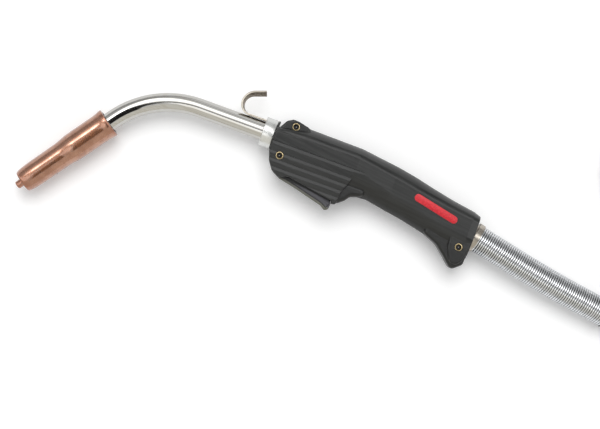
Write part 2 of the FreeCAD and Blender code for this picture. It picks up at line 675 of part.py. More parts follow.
# Handle fasteners
def handle_barrel_nuts():
    nuts = []
    for x, y, half in FASTENERS:
        top = Z_MID + half - NUT_SUNK
        nut = post(NUT_R, x, y, top - NUT_LENGTH, top)
        corners = [Vector(x + HEX_R * math.cos(math.radians(60 * i)),
                          y + HEX_R * math.sin(math.radians(60 * i)), top - HEX_DEPTH)
                   for i in range(7)]
        socket = Part.Face(Part.makePolygon(corners)).extrude(Vector(0, 0, HEX_DEPTH + 1))
        thread = post(SCREW_R + FIT, x, y, top - NUT_LENGTH - 1, top - HEX_DEPTH + 0.5)
        nuts.append(nut.cut([socket, thread]))
    return Part.makeCompound(nuts)


def handle_screws():
    screws = []
    for x, y, half in FASTENERS:
        base = Z_MID - half + 1.0
        head = post(SCREW_HEAD_R, x, y, base, base + SCREW_HEAD)
        slot = slab(x - 5, x + 5, y - 0.5, y + 0.5, base - 1, base + 1.2)
        shank = post(SCREW_R, x, y, base + 1.0, Z_MID + half - NUT_SUNK - HEX_DEPTH - 0.5)
        screws.append(head.cut(slot).fuse(shank))
    return Part.makeCompound(screws)


# Badge
def badge(radius, length, depth):
    """A pill-shaped plate or its recess, on the left flat of the grip."""
    run = length / 2 - radius
    face = outline((-run, -radius), (run, -radius), ((run + radius, 0), (run, radius)),
                   (-run, radius), ((-run - radius, 0), (-run, -radius + 1e-4)))
    pill = face.extrude(Vector(0, 0, 4.0))
    return at_place(pill, BADGE_X, BADGE_Y, Z_MID + GRIP_HALF - depth, BADGE_TILT)


def badge_plate():
    pill = badge(BADGE_WIDTH / 2, BADGE_LENGTH, BADGE_SUNK - FIT)
    top = Z_MID + GRIP_HALF - BADGE_SUNK + FIT + BADGE_THICK
    return pill.common(slab(0, 250, -90, 60, 0, top))


# Trigger and switch
def ribbon(points, width):
    """A closed outline this wide along a bent line."""
    line = [Vector(x, y, 0) for x, y in points]
    left, right = [], []
    for i, here in enumerate(line):
        ahead = (line[min(i + 1, len(line) - 1)] - line[max(i - 1, 0)]).normalize()
        side = Vector(-ahead.y, ahead.x, 0) * (width / 2)
        left.append(here + side)
        right.append(here - side)
    corners = left + right[::-1]
    return Part.Face(Part.makePolygon(corners + corners[:1]))


def trigger_lever():
    lever = plate([(-8.8, -37.9, 0.8), (-3.0, -34.6, 4.0), (8.0, -34.9, 6.0), (47.5, -41.0, 1.5),
                   (50.2, -45.6, 1.5), (49.6, -51.5, 2.5), (46.4, -53.7, 2.4),
                   (41.0, -50.4, 5.0), (10.0, -42.6, 60.0), (-6.8, -39.2, 1.0)],
                  TRIGGER_HALF, 0.0, TRIGGER_FILLET)
    rim_line = ribbon([(-6.0, -37.2), (-2.5, -37.4), (10.0, -39.8), (18.6, -42.0), (40.2, -47.4),
                       (44.4, -49.2), (46.6, -50.8), (47.9, -49.0), (48.6, -46.4)], TRIGGER_LINE)
    for z in (Z_MID - TRIGGER_HALF, Z_MID + TRIGGER_HALF):
        line = rim_line.extrude(Vector(0, 0, 2 * TRIGGER_LINE))
        lever = lever.cut(line.translated(Vector(0, 0, z - TRIGGER_LINE)))
    ear_half = TRIGGER_HALF - 3.0
    ear = plate([(-5.0, -38.5, 1.0), (-4.6, PIVOT_Y + 1.0, 4.0), (0.0, PIVOT_Y + 4.6, 4.0),
                 (4.6, PIVOT_Y + 1.0, 4.0), (9.0, -38.5, 1.0)], ear_half)
    nose_x = plunger_x()
    nose_y = SWITCH_Y - PLUNGER_PROUD - FIT - NOSE_R
    nose = post(NOSE_R, nose_x, nose_y, Z_MID - 4.0, Z_MID + 4.0)
    stem = slab(nose_x - NOSE_R, nose_x + NOSE_R, -41.0, nose_y, Z_MID - 4.0, Z_MID + 4.0)
    hole = post(PIN_R + RUN, 0.0, PIVOT_Y, 0.0, 2 * Z_MID)
    return lever.multiFuse([ear, nose, stem]).cut(hole)


def trigger_pin():
    reach = BROAD - 3.2
    return post(PIN_R, 0.0, PIVOT_Y, Z_MID - reach, Z_MID + reach)


def plunger_x():
    return SWITCH_X + SWITCH_LENGTH / 2


def switch_body():
    half = SWITCH_THICK / 2
    case = slab(SWITCH_X, SWITCH_X + SWITCH_LENGTH, SWITCH_Y, SWITCH_Y + SWITCH_HEIGHT,
                Z_MID - half, Z_MID + half)
    well = Part.makeCylinder(PLUNGER_R + RUN, 7.5, Vector(plunger_x(), SWITCH_Y - 0.5, Z_MID),
                             Vector(0, 1, 0))
    return case.cut(well)


def switch_plunger():
    start = SWITCH_Y - PLUNGER_PROUD
    return Part.makeCylinder(PLUNGER_R, PLUNGER_PROUD + 3.5, Vector(plunger_x(), start, Z_MID),
                             Vector(0, 1, 0))


def terminal_xs():
    return SWITCH_X + 3.0, SWITCH_X + SWITCH_LENGTH - 3.0


def switch_terminals():
    top = SWITCH_Y + SWITCH_HEIGHT
    return Part.makeCompound([slab(x - 1.2, x + 1.2, top, top + TERMINAL_LENGTH, Z_MID - 0.4, Z_MID + 0.4)
                              for x in terminal_xs()])


def lead_y():
    return SWITCH_Y + SWITCH_HEIGHT + TERMINAL_LENGTH + FIT + LEAD_R


def trigger_leads():
    """The two switch wires, from the terminals back to the cable's end face."""
    y = lead_y()
    start = HANDLE_CABLE[0]
    leads = []
    for x, side in zip(terminal_xs(), (0.0, 2.6)):
        z = Z_MID + side
        corner = HANDLE_CABLE[0][0] - 12.0
        path = Part.Wire([
            Part.LineSegment(Vector(x, y, z), Vector(corner, y, z)).toShape(),
            Part.LineSegment(Vector(corner, y, z),
                             Vector(start[0] - LEAD_R, start[1] - CABLE_D / 2 + 2.0, z)).toShape(),
        ])
        section = Part.makePolygon([Vector(x, y + LEAD_R * math.cos(math.radians(60 * i)),
                                           z + LEAD_R * math.sin(math.radians(60 * i)))
                                    for i in range(7)])
        leads.append(path.makePipeShell([section], True, False, 1))
    return Part.makeCompound(leads)


# Conductor block and what joins it
def conductor_block():
    x0 = BLOCK_FRONT_X
    x1 = x0 + BLOCK_LENGTH - 6.0
    x2 = x0 + BLOCK_LENGTH + CRIMP_LENGTH - 6.0
    socket = CONDUCTOR_REAR_X + FIT
    body = turned(
        (x0, CONDUCTOR_R + FIT), (x0, BLOCK_R - 1.0), (x0 + 1.0, BLOCK_R), (x1 - 1.0, BLOCK_R),
        (x1, BLOCK_R - 1.0), (x1, CRIMP_SPIGOT_R), (x2, CRIMP_SPIGOT_R), (x2, LINER_R + FIT),
        (socket, LINER_R + FIT), (socket, CONDUCTOR_R + FIT),
    )
    body = at_place(body, 0, 0, Z_MID, 0)
    hole = Part.makeCylinder(SET_SCREW_R + FIT, BLOCK_R, Vector(0.0, CONDUCTOR_R, Z_MID),
                             Vector(0, 1, 0))
    return body.cut(hole)


def tube_set_screw():
    bottom = CONDUCTOR_R + FIT
    screw = Part.makeCylinder(SET_SCREW_R, BLOCK_R - bottom - 0.8, Vector(0.0, bottom, Z_MID),
                              Vector(0, 1, 0))
    slot = slab(-3.0, 3.0, BLOCK_R - 2.0, BLOCK_R, Z_MID - 0.4, Z_MID + 0.4)
    return screw.cut(slot)


def cable_crimp_sleeve():
    x0 = BLOCK_FRONT_X + BLOCK_LENGTH - 6.0 + 1.0
    x1 = x0 + CRIMP_LENGTH - 1.0
    inner = CRIMP_SPIGOT_R + FIT
    body = turned((x0, inner), (x0, inner + CRIMP_WALL), (x1, inner + CRIMP_WALL), (x1, inner))
    return at_place(body, 0, 0, Z_MID, 0)


# Cable routes
class Route:
    """Straight runs through the points, joined by tangent arcs."""

    def __init__(self, name, points):
        points = [Vector(*p) for p in points]
        self.parts = []
        self.radii = []
        here = points[0]
        for before, corner, after in zip(points, points[1:], points[2:]):
            back, ahead = before - corner, after - corner
            turn = math.pi - back.getAngle(ahead)
            shorter = min(back.Length, ahead.Length)
            radius = 0.45 * shorter / math.tan(turn / 2)
            self.radii.append(radius)
            back.normalize()
            ahead.normalize()
            start, end = corner + back * 0.45 * shorter, corner + ahead * 0.45 * shorter
            inward = (back + ahead).normalize()
            centre = corner + inward * math.hypot(radius, 0.45 * shorter)
            self.parts.append(("run", here, start, (start - here).Length))
            self.parts.append(("arc", centre, start, end, -back, radius, turn, radius * turn))
            here = end
        self.parts.append(("run", here, points[-1], (points[-1] - here).Length))
        self.length = sum(part[-1] for part in self.parts)
        radii = ", ".join(f"{r:.0f}" for r in self.radii)
        print(f"{name}: {self.length:.1f} mm long, radii {radii} mm")

    def edges(self):
        made = []
        for part in self.parts:
            if part[0] == "run":
                made.append(Part.LineSegment(part[1], part[2]).toShape())
            else:
                _, centre, start, end, ahead, radius, turn, _ = part
                middle = self.on_arc(part, turn / 2)[0]
                made.append(Part.Arc(start, middle, end).toShape())
        return made

    @staticmethod
    def on_arc(part, turned_by):
        _, centre, start, _, ahead, radius, _, _ = part
        out = (start - centre).normalize()
        c, s = math.cos(turned_by), math.sin(turned_by)
        return centre + (out * c + ahead * s) * radius, ahead * c - out * s

    def at(self, distance):
        """The point and direction this far along."""
        for part in self.parts:
            if distance <= part[-1] or part is self.parts[-1]:
                break
            distance -= part[-1]
        if part[0] == "arc":
            return self.on_arc(part, distance / part[5])
        ahead = (part[2] - part[1]).normalize()
        return part[1] + ahead * distance, ahead


def ring_section(centre, ahead, radius, sides, start=0.0):
    """A regular section square to a path, its corners on the radius."""
    up = Vector(0, 0, 1)
    across = ahead.cross(up).normalize()
    up = across.cross(ahead)
    corners = []
    for i in range(sides + 1):
        a = math.radians(start + 360 * i / sides)
        corners.append(centre + (across * math.cos(a) + up * math.sin(a)) * radius)
    return Part.makePolygon(corners)


def swept(name, edges, section, area):
    solid = Part.Wire(edges).makePipeShell([section], True, False)
    length = sum(e.Length for e in edges)
    print(f"{name}: volume {solid.Volume:.0f}, section by length {area * length:.0f} mm3")
    return solid


def polygon_area(radius, sides):
    return sides / 2 * radius ** 2 * math.sin(2 * math.pi / sides)


def cable_tube(name, points):
    route = Route(name, points)
    start, ahead = route.at(0.0)
    section = ring_section(start, ahead, CABLE_D / 2, CABLE_SIDES, 180 / CABLE_SIDES)
    return swept(name, route.edges(), section, polygon_area(CABLE_D / 2, CABLE_SIDES))


def biarc(p0, t0, p1, t1):
    """Two tangent arcs from p0, heading t0, to p1, heading t1."""
    v = p1 - p0
    a = 2 * (1 - t0.dot(t1))
    b = 2 * v.dot(t0 + t1)
    reach = (-b + math.sqrt(b * b + 4 * a * v.dot(v))) / (2 * a)
    joint = (p0 + t0 * reach + p1 - t1 * reach) / 2
    edges = []
    for start, end, tangent in ((p0, joint, t0), (p1, joint, -t1)):
        chord = end - start
        out = tangent - chord * (tangent.dot(chord) / chord.dot(chord))
        half = tangent.getAngle(chord)
        middle = (start + end) / 2 + out.normalize() * (chord.Length / 2 * math.tan(half / 2))
        edges.append(Part.Arc(start, middle, end).toShape())
    return edges


def least_gap(name, points, reach, thick):
    """Prints the least gap between parts of a wound tube that are more than reach points apart."""
    least = min((p - q).Length for i, p in enumerate(points) for q in points[i + reach:])
    print(f"{name}: least gap to itself {least - thick:.2f} mm")


# The put-away coil
COIL_LAYER_TURNS = (COIL_TURNS - 0.5) / 2
COIL_STEP = CABLE_D + LAY_GAP


def coil_point(turns):
    """A point on the coil's centre line: in on the table, up a layer, and out again on top."""
    out_again = turns - COIL_LAYER_TURNS - 0.5
    inner = COIL_R - COIL_STEP * COIL_LAYER_TURNS
    low = CABLE_D / 2 + FLOOR_GAP
    if turns < COIL_LAYER_TURNS:
        radius, z = COIL_R - COIL_STEP * turns, low
    elif out_again < 0:
        climb = 1 + out_again / 0.5
        radius = inner - COIL_STEP * min(0.5 + out_again, -out_again)
        z = low + COIL_STEP * (1 - math.cos(math.pi * climb)) / 2
    else:
        radius, z = inner + COIL_STEP * out_again, low + COIL_STEP
    a = math.radians(COIL_START) + 2 * math.pi * turns
    return Vector(COIL_X + radius * math.cos(a), COIL_Y + radius * math.sin(a), z)


def coil_heading(turns):
    """The direction along the coil, level with the table at both ends."""
    near = 1e-4
    before, after = max(turns - near, 0.0), min(turns + near, COIL_TURNS)
    if turns in (0.0, COIL_TURNS):
        a = math.radians(COIL_START) + 2 * math.pi * turns + math.pi / 2
        return Vector(math.cos(a), math.sin(a), 0)
    return (coil_point(after) - coil_point(before)).normalize()


def coil_ends():
    """Where the coil's straight ends meet the free cable and the tail."""
    start = coil_point(0.0) - coil_heading(0.0) * CABLE_D
    end = coil_point(COIL_TURNS) + coil_heading(COIL_TURNS) * CABLE_D
    return start, end


def cable_coil():
    start, end = coil_ends()
    steps = 8
    marks = [COIL_LAYER_TURNS * i / steps for i in range(steps)]
    marks += [COIL_LAYER_TURNS, COIL_LAYER_TURNS + 0.25]
    marks += [COIL_LAYER_TURNS * (1 + i / steps) + 0.5 for i in range(steps)] + [COIL_TURNS]
    edges = [Part.LineSegment(start, coil_point(0.0)).toShape()]
    for a, b in zip(marks, marks[1:]):
        edges += biarc(coil_point(a), coil_heading(a), coil_point(b), coil_heading(b))
    edges.append(Part.LineSegment(coil_point(COIL_TURNS), end).toShape())
    samples = 48
    points = [coil_point(COIL_TURNS * i / (samples * 5)) for i in range(samples * 5 + 1)]
    least_gap("cable_coil", points, samples // 2, CABLE_D)
    section = ring_section(start, coil_heading(0.0), CABLE_D / 2, COIL_SIDES)
    return swept("cable_coil", edges, section, polygon_area(CABLE_D / 2, COIL_SIDES))


def power_cable():
    start, _ = coil_ends()
    return cable_tube("power_cable", FREE_CABLE + [tuple(start)])


def handle_cable():
    return cable_tube("handle_cable", HANDLE_CABLE)


def tail_points():
    _, end = coil_ends()
    first = end + coil_heading(COIL_TURNS) * TAIL_END_RUN
    x, y, z = TAIL[-1]
    a = math.radians(TAIL_HEADING)
    last = (x + TAIL_END_RUN * math.cos(a), y + TAIL_END_RUN * math.sin(a), z)
    return [tuple(end), tuple(first)] + TAIL + [last]


def cable_tail():
    return cable_tube("cable_tail", tail_points())


# Strain relief at the handle
def rear_ferrule():
    """A cup behind the handle that takes the spring's end, on a neck held in the shells."""
    neck = -FERRULE_IN
    cup = SPRING_R + 2 * FIT
    body = turned(
        (neck, CABLE_D / 2 + 0.3), (neck, FERRULE_NECK_R), (FIT, FERRULE_NECK_R),
        (FIT, FERRULE_R), (FERRULE_OUT - 0.5, FERRULE_R),
        (FERRULE_OUT, cup + 0.15), (FERRULE_OUT, cup), (SPRING_START - SPRING_WIRE / 2 - FIT, cup),
        (SPRING_START - SPRING_WIRE / 2 - FIT, CABLE_D / 2 + 0.3),
    )
    return along_exit(body)


def cable_clamp():
    """A split ring that grips the cable's jacket inside the handle."""
    x, y, heading = exit_line()
    start = -FERRULE_IN - CLAMP_LENGTH - 1.0
    inner = CABLE_D / 2 + 0.1
    ring = turned((start, inner), (start, CLAMP_R), (start + CLAMP_LENGTH, CLAMP_R),
                  (start + CLAMP_LENGTH, inner))
    gap = slab(start - 1, start + CLAMP_LENGTH + 1, 0, CLAMP_R + 1, -0.8, 0.8)
    return along_exit(ring.cut(gap))


def strain_relief_spring():
    """A close-wound spring round the cable, of three-sided wire with its edge outwards."""
    route = Route("spring axis", FREE_CABLE + [tuple(coil_ends()[0])])
    x, y, _ = exit_line()
    offset = (Vector(x, y, Z_MID) - Vector(*FREE_CABLE[0])).Length + SPRING_START
    radius = SPRING_R - SPRING_WIRE / 2

    def point(turns):
        centre, ahead = route.at(offset + SPRING_PITCH * turns)
        across = ahead.cross(Vector(0, 0, 1)).normalize()
        up = across.cross(ahead)
        a = 2 * math.pi * turns
        return centre + (across * math.cos(a) + up * math.sin(a)) * radius

    def heading(turns):
        return (point(turns + 1e-4) - point(turns - 1e-4)).normalize()

    edges = []
    for i in range(2 * SPRING_TURNS):
        a, b = i / 2, (i + 1) / 2
        edges += biarc(point(a), heading(a), point(b), heading(b))
    samples = 24
    near = [point(i / samples) for i in range(4 * samples)]
    far = [point(SPRING_TURNS - i / samples) for i in range(4 * samples)]
    least_gap("strain_relief_spring", near, samples // 2, SPRING_WIRE)
    least_gap("strain_relief_spring, far end", far, samples // 2, SPRING_WIRE)
    start, ahead = point(0.0), heading(0.0)
    out = (start - route.at(offset)[0]).normalize()
    side = ahead.cross(out).normalize()
    half = SPRING_WIRE / 2
    corners = [start + out * half, start - out * half + side * half, start - out * half - side * half]
    section = Part.makePolygon(corners + corners[:1])
    return swept("strain_relief_spring", edges, section, 2 * half * half)


# Cable connector
def on_connector(shape):
    x, y, z = tail_points()[-1]
    a = math.radians(TAIL_HEADING)
    back = BOOT_POCKET + FIT
    return at_place(shape, x - back * math.cos(a), y - back * math.sin(a), z, TAIL_HEADING)


def connector_boot():
    body = turned(
        (0, CABLE_D / 2 + FIT), (0, BOOT_REAR_R), (BOOT_LENGTH - 2.0, BOOT_R),
        (BOOT_LENGTH, BOOT_R), (BOOT_LENGTH, 6.0), (BOOT_POCKET + 2 * FIT, 6.0),
        (BOOT_POCKET + 2 * FIT, CABLE_D / 2 + FIT),
    )
    return on_connector(body)


def connector_housing():
    s0 = BOOT_LENGTH + FIT
    s1 = s0 + CASE_LENGTH
    inner = CASE_R - CASE_WALL
    body = turned(
        (s0, 6.0), (s0, CASE_R - 4.0), (s0 + 4.0, CASE_R), (s1 - 1.5, CASE_R), (s1, CASE_R - 1.5),
        (s1, PLUG_BODY_R + FIT), (s1 - 8.0, PLUG_BODY_R + FIT), (s1 - 8.0, inner),
        (s0 + 6.0, inner), (s0 + 3.0, 6.0),
    )
    screws = [Part.makeCylinder(2.1, CASE_R, Vector(s0 + 12.0, 0, 0), Vector(0, 0, side))
              for side in (-1, 1)]
    return on_connector(body.cut(screws))


def connector_screws():
    s0 = BOOT_LENGTH + FIT + 12.0
    depth = CASE_WALL + 1.5
    screws = []
    for side in (-1, 1):
        screws.append(Part.makeCylinder(2.05, depth, Vector(s0, 0, side * (CASE_R - depth - 0.6)),
                                        Vector(0, 0, side)))
    return on_connector(Part.makeCompound(screws))


def plug_face_s():
    return BOOT_LENGTH + FIT + CASE_LENGTH


def connector_plug():
    """The brass plug: a body in the housing's mouth, a stop flange, and the gas and wire pin."""
    s0 = plug_face_s() - 8.0
    face = plug_face_s() + PLUG_BODY_LENGTH
    tip = face + PLUG_PIN_LENGTH - 15.0
    groove = tip - 5.0
    body = turned(
        (s0, LINER_R), (s0, PLUG_BODY_R), (face - 1.0, PLUG_BODY_R), (face, PLUG_BODY_R - 1.0),
        (face, PLUG_PIN_R), (groove, PLUG_PIN_R), (groove, PLUG_PIN_R - 1.2),
        (groove + O_RING + 0.2, PLUG_PIN_R - 1.2), (groove + O_RING + 0.2, PLUG_PIN_R),
        (tip - 1.0, PLUG_PIN_R), (tip, PLUG_PIN_R - 1.0), (tip, LINER_R),
    )
    holes = [Part.makeCylinder(CONTACT_R + FIT, 8.0, Vector(face - 7.0, side * CONTACT_SPREAD, 0),
                               Vector(1, 0, 0)) for side in (-1, 1)]
    return on_connector(body.cut(holes))


def plug_contacts():
    face = plug_face_s() + PLUG_BODY_LENGTH
    pins = [Part.makeCylinder(CONTACT_R, 14.0, Vector(face - 6.5, side * CONTACT_SPREAD, 0),
                              Vector(1, 0, 0)) for side in (-1, 1)]
    return on_connector(Part.makeCompound(pins))


def plug_o_ring():
    groove = plug_face_s() + PLUG_BODY_LENGTH + PLUG_PIN_LENGTH - 20.0
    inner = PLUG_PIN_R - 1.15
    body = turned((groove + 0.1, inner), (groove + 0.1, inner + O_RING - 0.3),
                  (groove + O_RING, inner + O_RING - 0.3), (groove + O_RING, inner))
    return on_connector(body)


def connector_nut():
    """The coupling nut that turns on the plug body in front of the housing."""
    s0 = plug_face_s() + BODY_GAP
    s1 = s0 + COUPLING_LENGTH
    hug = PLUG_BODY_R + RUN
    body = turned(
        (s0, hug), (s0, COUPLING_R - 1.0), (s0 + 1.0, COUPLING_R), (s1 - 1.0, COUPLING_R),
        (s1, COUPLING_R - 1.0), (s1, COUPLING_BORE_R), (s0 + 4.0, COUPLING_BORE_R),
        (s0 + 4.0, hug),
    )
    flutes = []
    for i in range(COUPLING_FLUTES):
        a = math.radians(360 * i / COUPLING_FLUTES)
        centre = Vector(s0 + 5.0, (COUPLING_R + 1.2) * math.cos(a), (COUPLING_R + 1.2) * math.sin(a))
        flutes.append(Part.makeCylinder(FLUTE_R, COUPLING_LENGTH, centre, Vector(1, 0, 0)))
    return on_connector(body.cut(flutes))


# Every piece, written as one file each
def build():
    left, right = handle_shells()
    return {
        "contact_tip": contact_tip(),
        "gas_diffuser": gas_diffuser(),
        "gas_nozzle": gas_nozzle(),
        "nozzle_insulator": nozzle_insulator(),
        "nozzle_retaining_ring": nozzle_retaining_ring(),
        "gun_tube_jacket": gun_tube_jacket(),
        "gun_tube_insulation": gun_tube_insulation(),
        "gun_tube_conductor": gun_tube_conductor(),
        "wire_liner": wire_liner(),
        "hanger_hook": hanger_hook(),
        "front_collar": front_collar(),
        "conductor_block": conductor_block(),
        "tube_set_screw": tube_set_screw(),
        "cable_crimp_sleeve": cable_crimp_sleeve(),
        "left_handle_shell": left,
        "right_handle_shell": right,
        "handle_screws": handle_screws(),
        "handle_barrel_nuts": handle_barrel_nuts(),
        "badge_plate": badge_plate(),
        "trigger_lever": trigger_lever(),
        "trigger_pin": trigger_pin(),
        "switch_body": switch_body(),
        "switch_plunger": switch_plunger(),
        "switch_terminals": switch_terminals(),
        "trigger_leads": trigger_leads(),
        "handle_cable": handle_cable(),
        "cable_clamp": cable_clamp(),
        "rear_ferrule": rear_ferrule(),
        "strain_relief_spring": strain_relief_spring(),
        "power_cable": power_cable(),
        "cable_coil": cable_coil(),
        "cable_tail": cable_tail(),
        "connector_boot": connector_boot(),
        "connector_housing": connector_housing(),
        "connector_screws": connector_screws(),
        "connector_nut": connector_nut(),
        "connector_plug": connector_plug(),
        "plug_contacts": plug_contacts(),
        "plug_o_ring": plug_o_ring(),
    }


os.makedirs("parts", exist_ok=True)
for name, shape in build().items():
    shape.exportStep(f"parts/{name}.step")
    print(f"{name}: {len(shape.Solids)} solid(s), {shape.Volume:.0f} mm3, valid {shape.isValid()}")
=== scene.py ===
# %% [markdown]
# # A MIG welding torch
#
# The torch lies on its side on a white table, seen from straight above. Its exact solids come
# packed as a frame, in metres, with every piece at its place. This lesson dresses them: it sets
# up the view and the light, mixes the finishes, and models the pieces that need a finer form
# than the solids have, such as the wound spring, the cable and the copper nozzle.

import math

import bpy
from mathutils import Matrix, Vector


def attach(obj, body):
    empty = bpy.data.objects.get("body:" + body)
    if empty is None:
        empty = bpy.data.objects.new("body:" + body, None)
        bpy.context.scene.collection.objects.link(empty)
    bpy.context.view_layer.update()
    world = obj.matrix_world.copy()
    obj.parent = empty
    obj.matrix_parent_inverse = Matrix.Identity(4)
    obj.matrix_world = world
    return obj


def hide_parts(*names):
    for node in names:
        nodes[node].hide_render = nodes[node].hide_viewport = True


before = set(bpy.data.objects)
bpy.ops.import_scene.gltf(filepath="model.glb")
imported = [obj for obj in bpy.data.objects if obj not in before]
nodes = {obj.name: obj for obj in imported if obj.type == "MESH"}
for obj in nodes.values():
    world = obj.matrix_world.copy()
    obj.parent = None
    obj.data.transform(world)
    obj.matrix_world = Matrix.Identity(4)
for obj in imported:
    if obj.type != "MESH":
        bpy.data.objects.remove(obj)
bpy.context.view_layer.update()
bpy.ops.object.select_all(action="DESELECT")

# %% [markdown]
# ## The view
#
# The photograph looks straight down, from far enough away that the sides of the torch hardly
# show. The handle's axis runs down to the right by 20 degrees, so the camera is turned by that
# much about the vertical. A long lens is chosen over an orthographic camera because a real
# lens made the picture, and its distance follows from the width that it has to take in.

# %% Camera
MM = 0.001
AXIS_HEIGHT = 20.0 * MM             # of the torch's middle plane above the table
PICTURE_WIDTH = 600 * MM            # the picture is 600 mm wide at the torch's axis
PICTURE_CENTRE = Vector((25.3 * MM, -65.8 * MM, AXIS_HEIGHT))
PICTURE_TURN = math.radians(20)
LENS, SENSOR = 100.0, 36.0

lens_data = bpy.data.cameras.new("camera")
lens_data.lens, lens_data.sensor_width = LENS, SENSOR
camera = bpy.data.objects.new("camera", lens_data)
bpy.context.scene.collection.objects.link(camera)
camera.location = PICTURE_CENTRE + Vector((0, 0, PICTURE_WIDTH * LENS / SENSOR))
camera.rotation_euler = (0, 0, PICTURE_TURN)
bpy.context.scene.camera = camera
print("camera height:", round(camera.location.z, 3))

# %% [markdown]
# ## Node helpers
#
# Every finish below is a small network of nodes. A few short functions keep those networks
# readable: they add a node, feed a socket, do a sum, measure along a direction, make a smooth
# ramp and combine masks. The room's panels are made with the same functions.

# %% Helpers for nodes


def node(tree, kind, **settings):
    made = tree.nodes.new(kind)
    for name, value in settings.items():
        setattr(made, name, value)
    return made


def feed(tree, socket, value):
    """Gives a socket a number, a colour or another node's output."""
    if isinstance(value, bpy.types.NodeSocket):
        tree.links.new(value, socket)
    else:
        socket.default_value = value


def maths(tree, operation, *values):
    made = node(tree, "ShaderNodeMath", operation=operation)
    for socket, value in zip(made.inputs, values):
        feed(tree, socket, value)
    return made.outputs[0]


def dot(tree, vector, direction):
    made = node(tree, "ShaderNodeVectorMath", operation="DOT_PRODUCT")
    feed(tree, made.inputs[0], vector)
    made.inputs[1].default_value = direction
    return made.outputs["Value"]


def ramp(tree, value, start, end, low=0.0, high=1.0):
    """Low up to start, high from end on, and a smooth rise between them."""
    made = node(tree, "ShaderNodeMapRange", interpolation_type="SMOOTHSTEP")
    for name, given in (("Value", value), ("From Min", start), ("From Max", end),
                        ("To Min", low), ("To Max", high)):
        feed(tree, made.inputs[name], given)
    return made.outputs[0]


def mixed(tree, amount, low, high):
    """Goes from low to high as the amount goes from 0 to 1."""
    return ramp(tree, amount, 0.0, 1.0, low, high)


def product(tree, *values):
    total = values[0]
    for value in values[1:]:
        total = maths(tree, "MULTIPLY", total, value)
    return total


def largest(tree, *values):
    total = values[0]
    for value in values[1:]:
        total = maths(tree, "MAXIMUM", total, value)
    return total


def between(tree, value, low, high, soft):
    """1 where the value lies between two edges, with soft edges."""
    return product(tree, ramp(tree, value, low - soft, low + soft),
                   ramp(tree, value, high - soft, high + soft, 1.0, 0.0))


# %% [markdown]
# ## Table and light
#
# A product photograph like this one is lit by a large soft lamp above the table. Two things
# make its look: even light that lets white be white, and a lamp that leaves a soft shadow.
# A sun with a wide disc gives every place the same light, which a near lamp would not.
# Polished metal mirrors the studio, so for reflections alone the world holds bright panels
# and the narrow dark gaps between them.

# %% Picture directions
up_in_picture = Vector((-math.sin(PICTURE_TURN), math.cos(PICTURE_TURN), 0))
right_in_picture = Vector((math.cos(PICTURE_TURN), math.sin(PICTURE_TURN), 0))


def towards(right, up, tilt_degrees):
    """A direction tilted from the vertical towards a place in the picture."""
    level = (right_in_picture * right + up_in_picture * up).normalized()
    tilt = math.radians(tilt_degrees)
    return level * math.sin(tilt) + Vector((0, 0, math.cos(tilt)))


print("up in the picture:", [round(part, 3) for part in up_in_picture])

# %% Table top
TABLE_SIZE, TABLE_MIDDLE = 6.0, (0.2, 0, 0)
TABLE_GLOW = 0.10                   # seen by the camera alone, to bring paper white to white
bpy.ops.mesh.primitive_plane_add(size=TABLE_SIZE, location=TABLE_MIDDLE)
table_top = bpy.context.object
table_top.name = "table_top"
bpy.ops.object.transform_apply(location=True, rotation=True, scale=True)
table_paint = bpy.data.materials.new("table_white")
table_paint.use_nodes = True
table_nodes = table_paint.node_tree
table_shader = table_nodes.nodes["Principled BSDF"]
table_shader.inputs["Base Color"].default_value = (1, 1, 1, 1)
table_shader.inputs["Roughness"].default_value = 1.0
table_shader.inputs["Specular IOR Level"].default_value = 0.0
table_shader.inputs["Emission Color"].default_value = (1, 1, 1, 1)
seen = node(table_nodes, "ShaderNodeLightPath").outputs["Is Camera Ray"]
glow = maths(table_nodes, "MULTIPLY", seen, TABLE_GLOW)
feed(table_nodes, table_shader.inputs["Emission Strength"], glow)
table_top.data.materials.append(table_paint)
print("table top:", TABLE_SIZE, "m wide")

# %% Lamp
LAMP_LIGHT = 0.42                   # its light on the table, to which the room adds its own
LAMP_TILT = 28.0                    # degrees from the vertical, towards the picture's top
LAMP_SIDE = 0.10                    # its share to the right
LAMP_WIDTH = 40.0                   # degrees, which makes the shadows soft
sun = bpy.data.lights.new("soft_lamp", "SUN")
sun.angle = math.radians(LAMP_WIDTH)
sun.energy = LAMP_LIGHT * math.pi / math.cos(math.radians(LAMP_TILT))
lamp = bpy.data.objects.new("soft_lamp", sun)
bpy.context.scene.collection.objects.link(lamp)
lamp.rotation_euler = towards(LAMP_SIDE, 1.0, LAMP_TILT).to_track_quat("Z", "Y").to_euler()
lamp.visible_glossy = False
print("lamp energy:", round(sun.energy, 2))

# %% Room
LOWEST_SKY = 0.02                   # keeps the slopes finite near the horizon
world = bpy.data.worlds.new("room")
bpy.context.scene.world = world
world.use_nodes = True
room = world.node_tree
room.nodes.clear()

# A place in the room is told by its slopes across and along the torch, 0 straight overhead
sky = node(room, "ShaderNodeTexCoord").outputs["Generated"]
height = maths(room, "MAXIMUM", dot(room, sky, (0, 0, 1)), LOWEST_SKY)
across = maths(room, "DIVIDE", dot(room, sky, (0, 1, 0)), height)
lengthwise = maths(room, "DIVIDE", dot(room, sky, (1, 0, 0)), height)
spread = maths(room, "SQRT", maths(room, "ADD", product(room, across, across),
                                   product(room, lengthwise, lengthwise)))
print("world:", world.name)

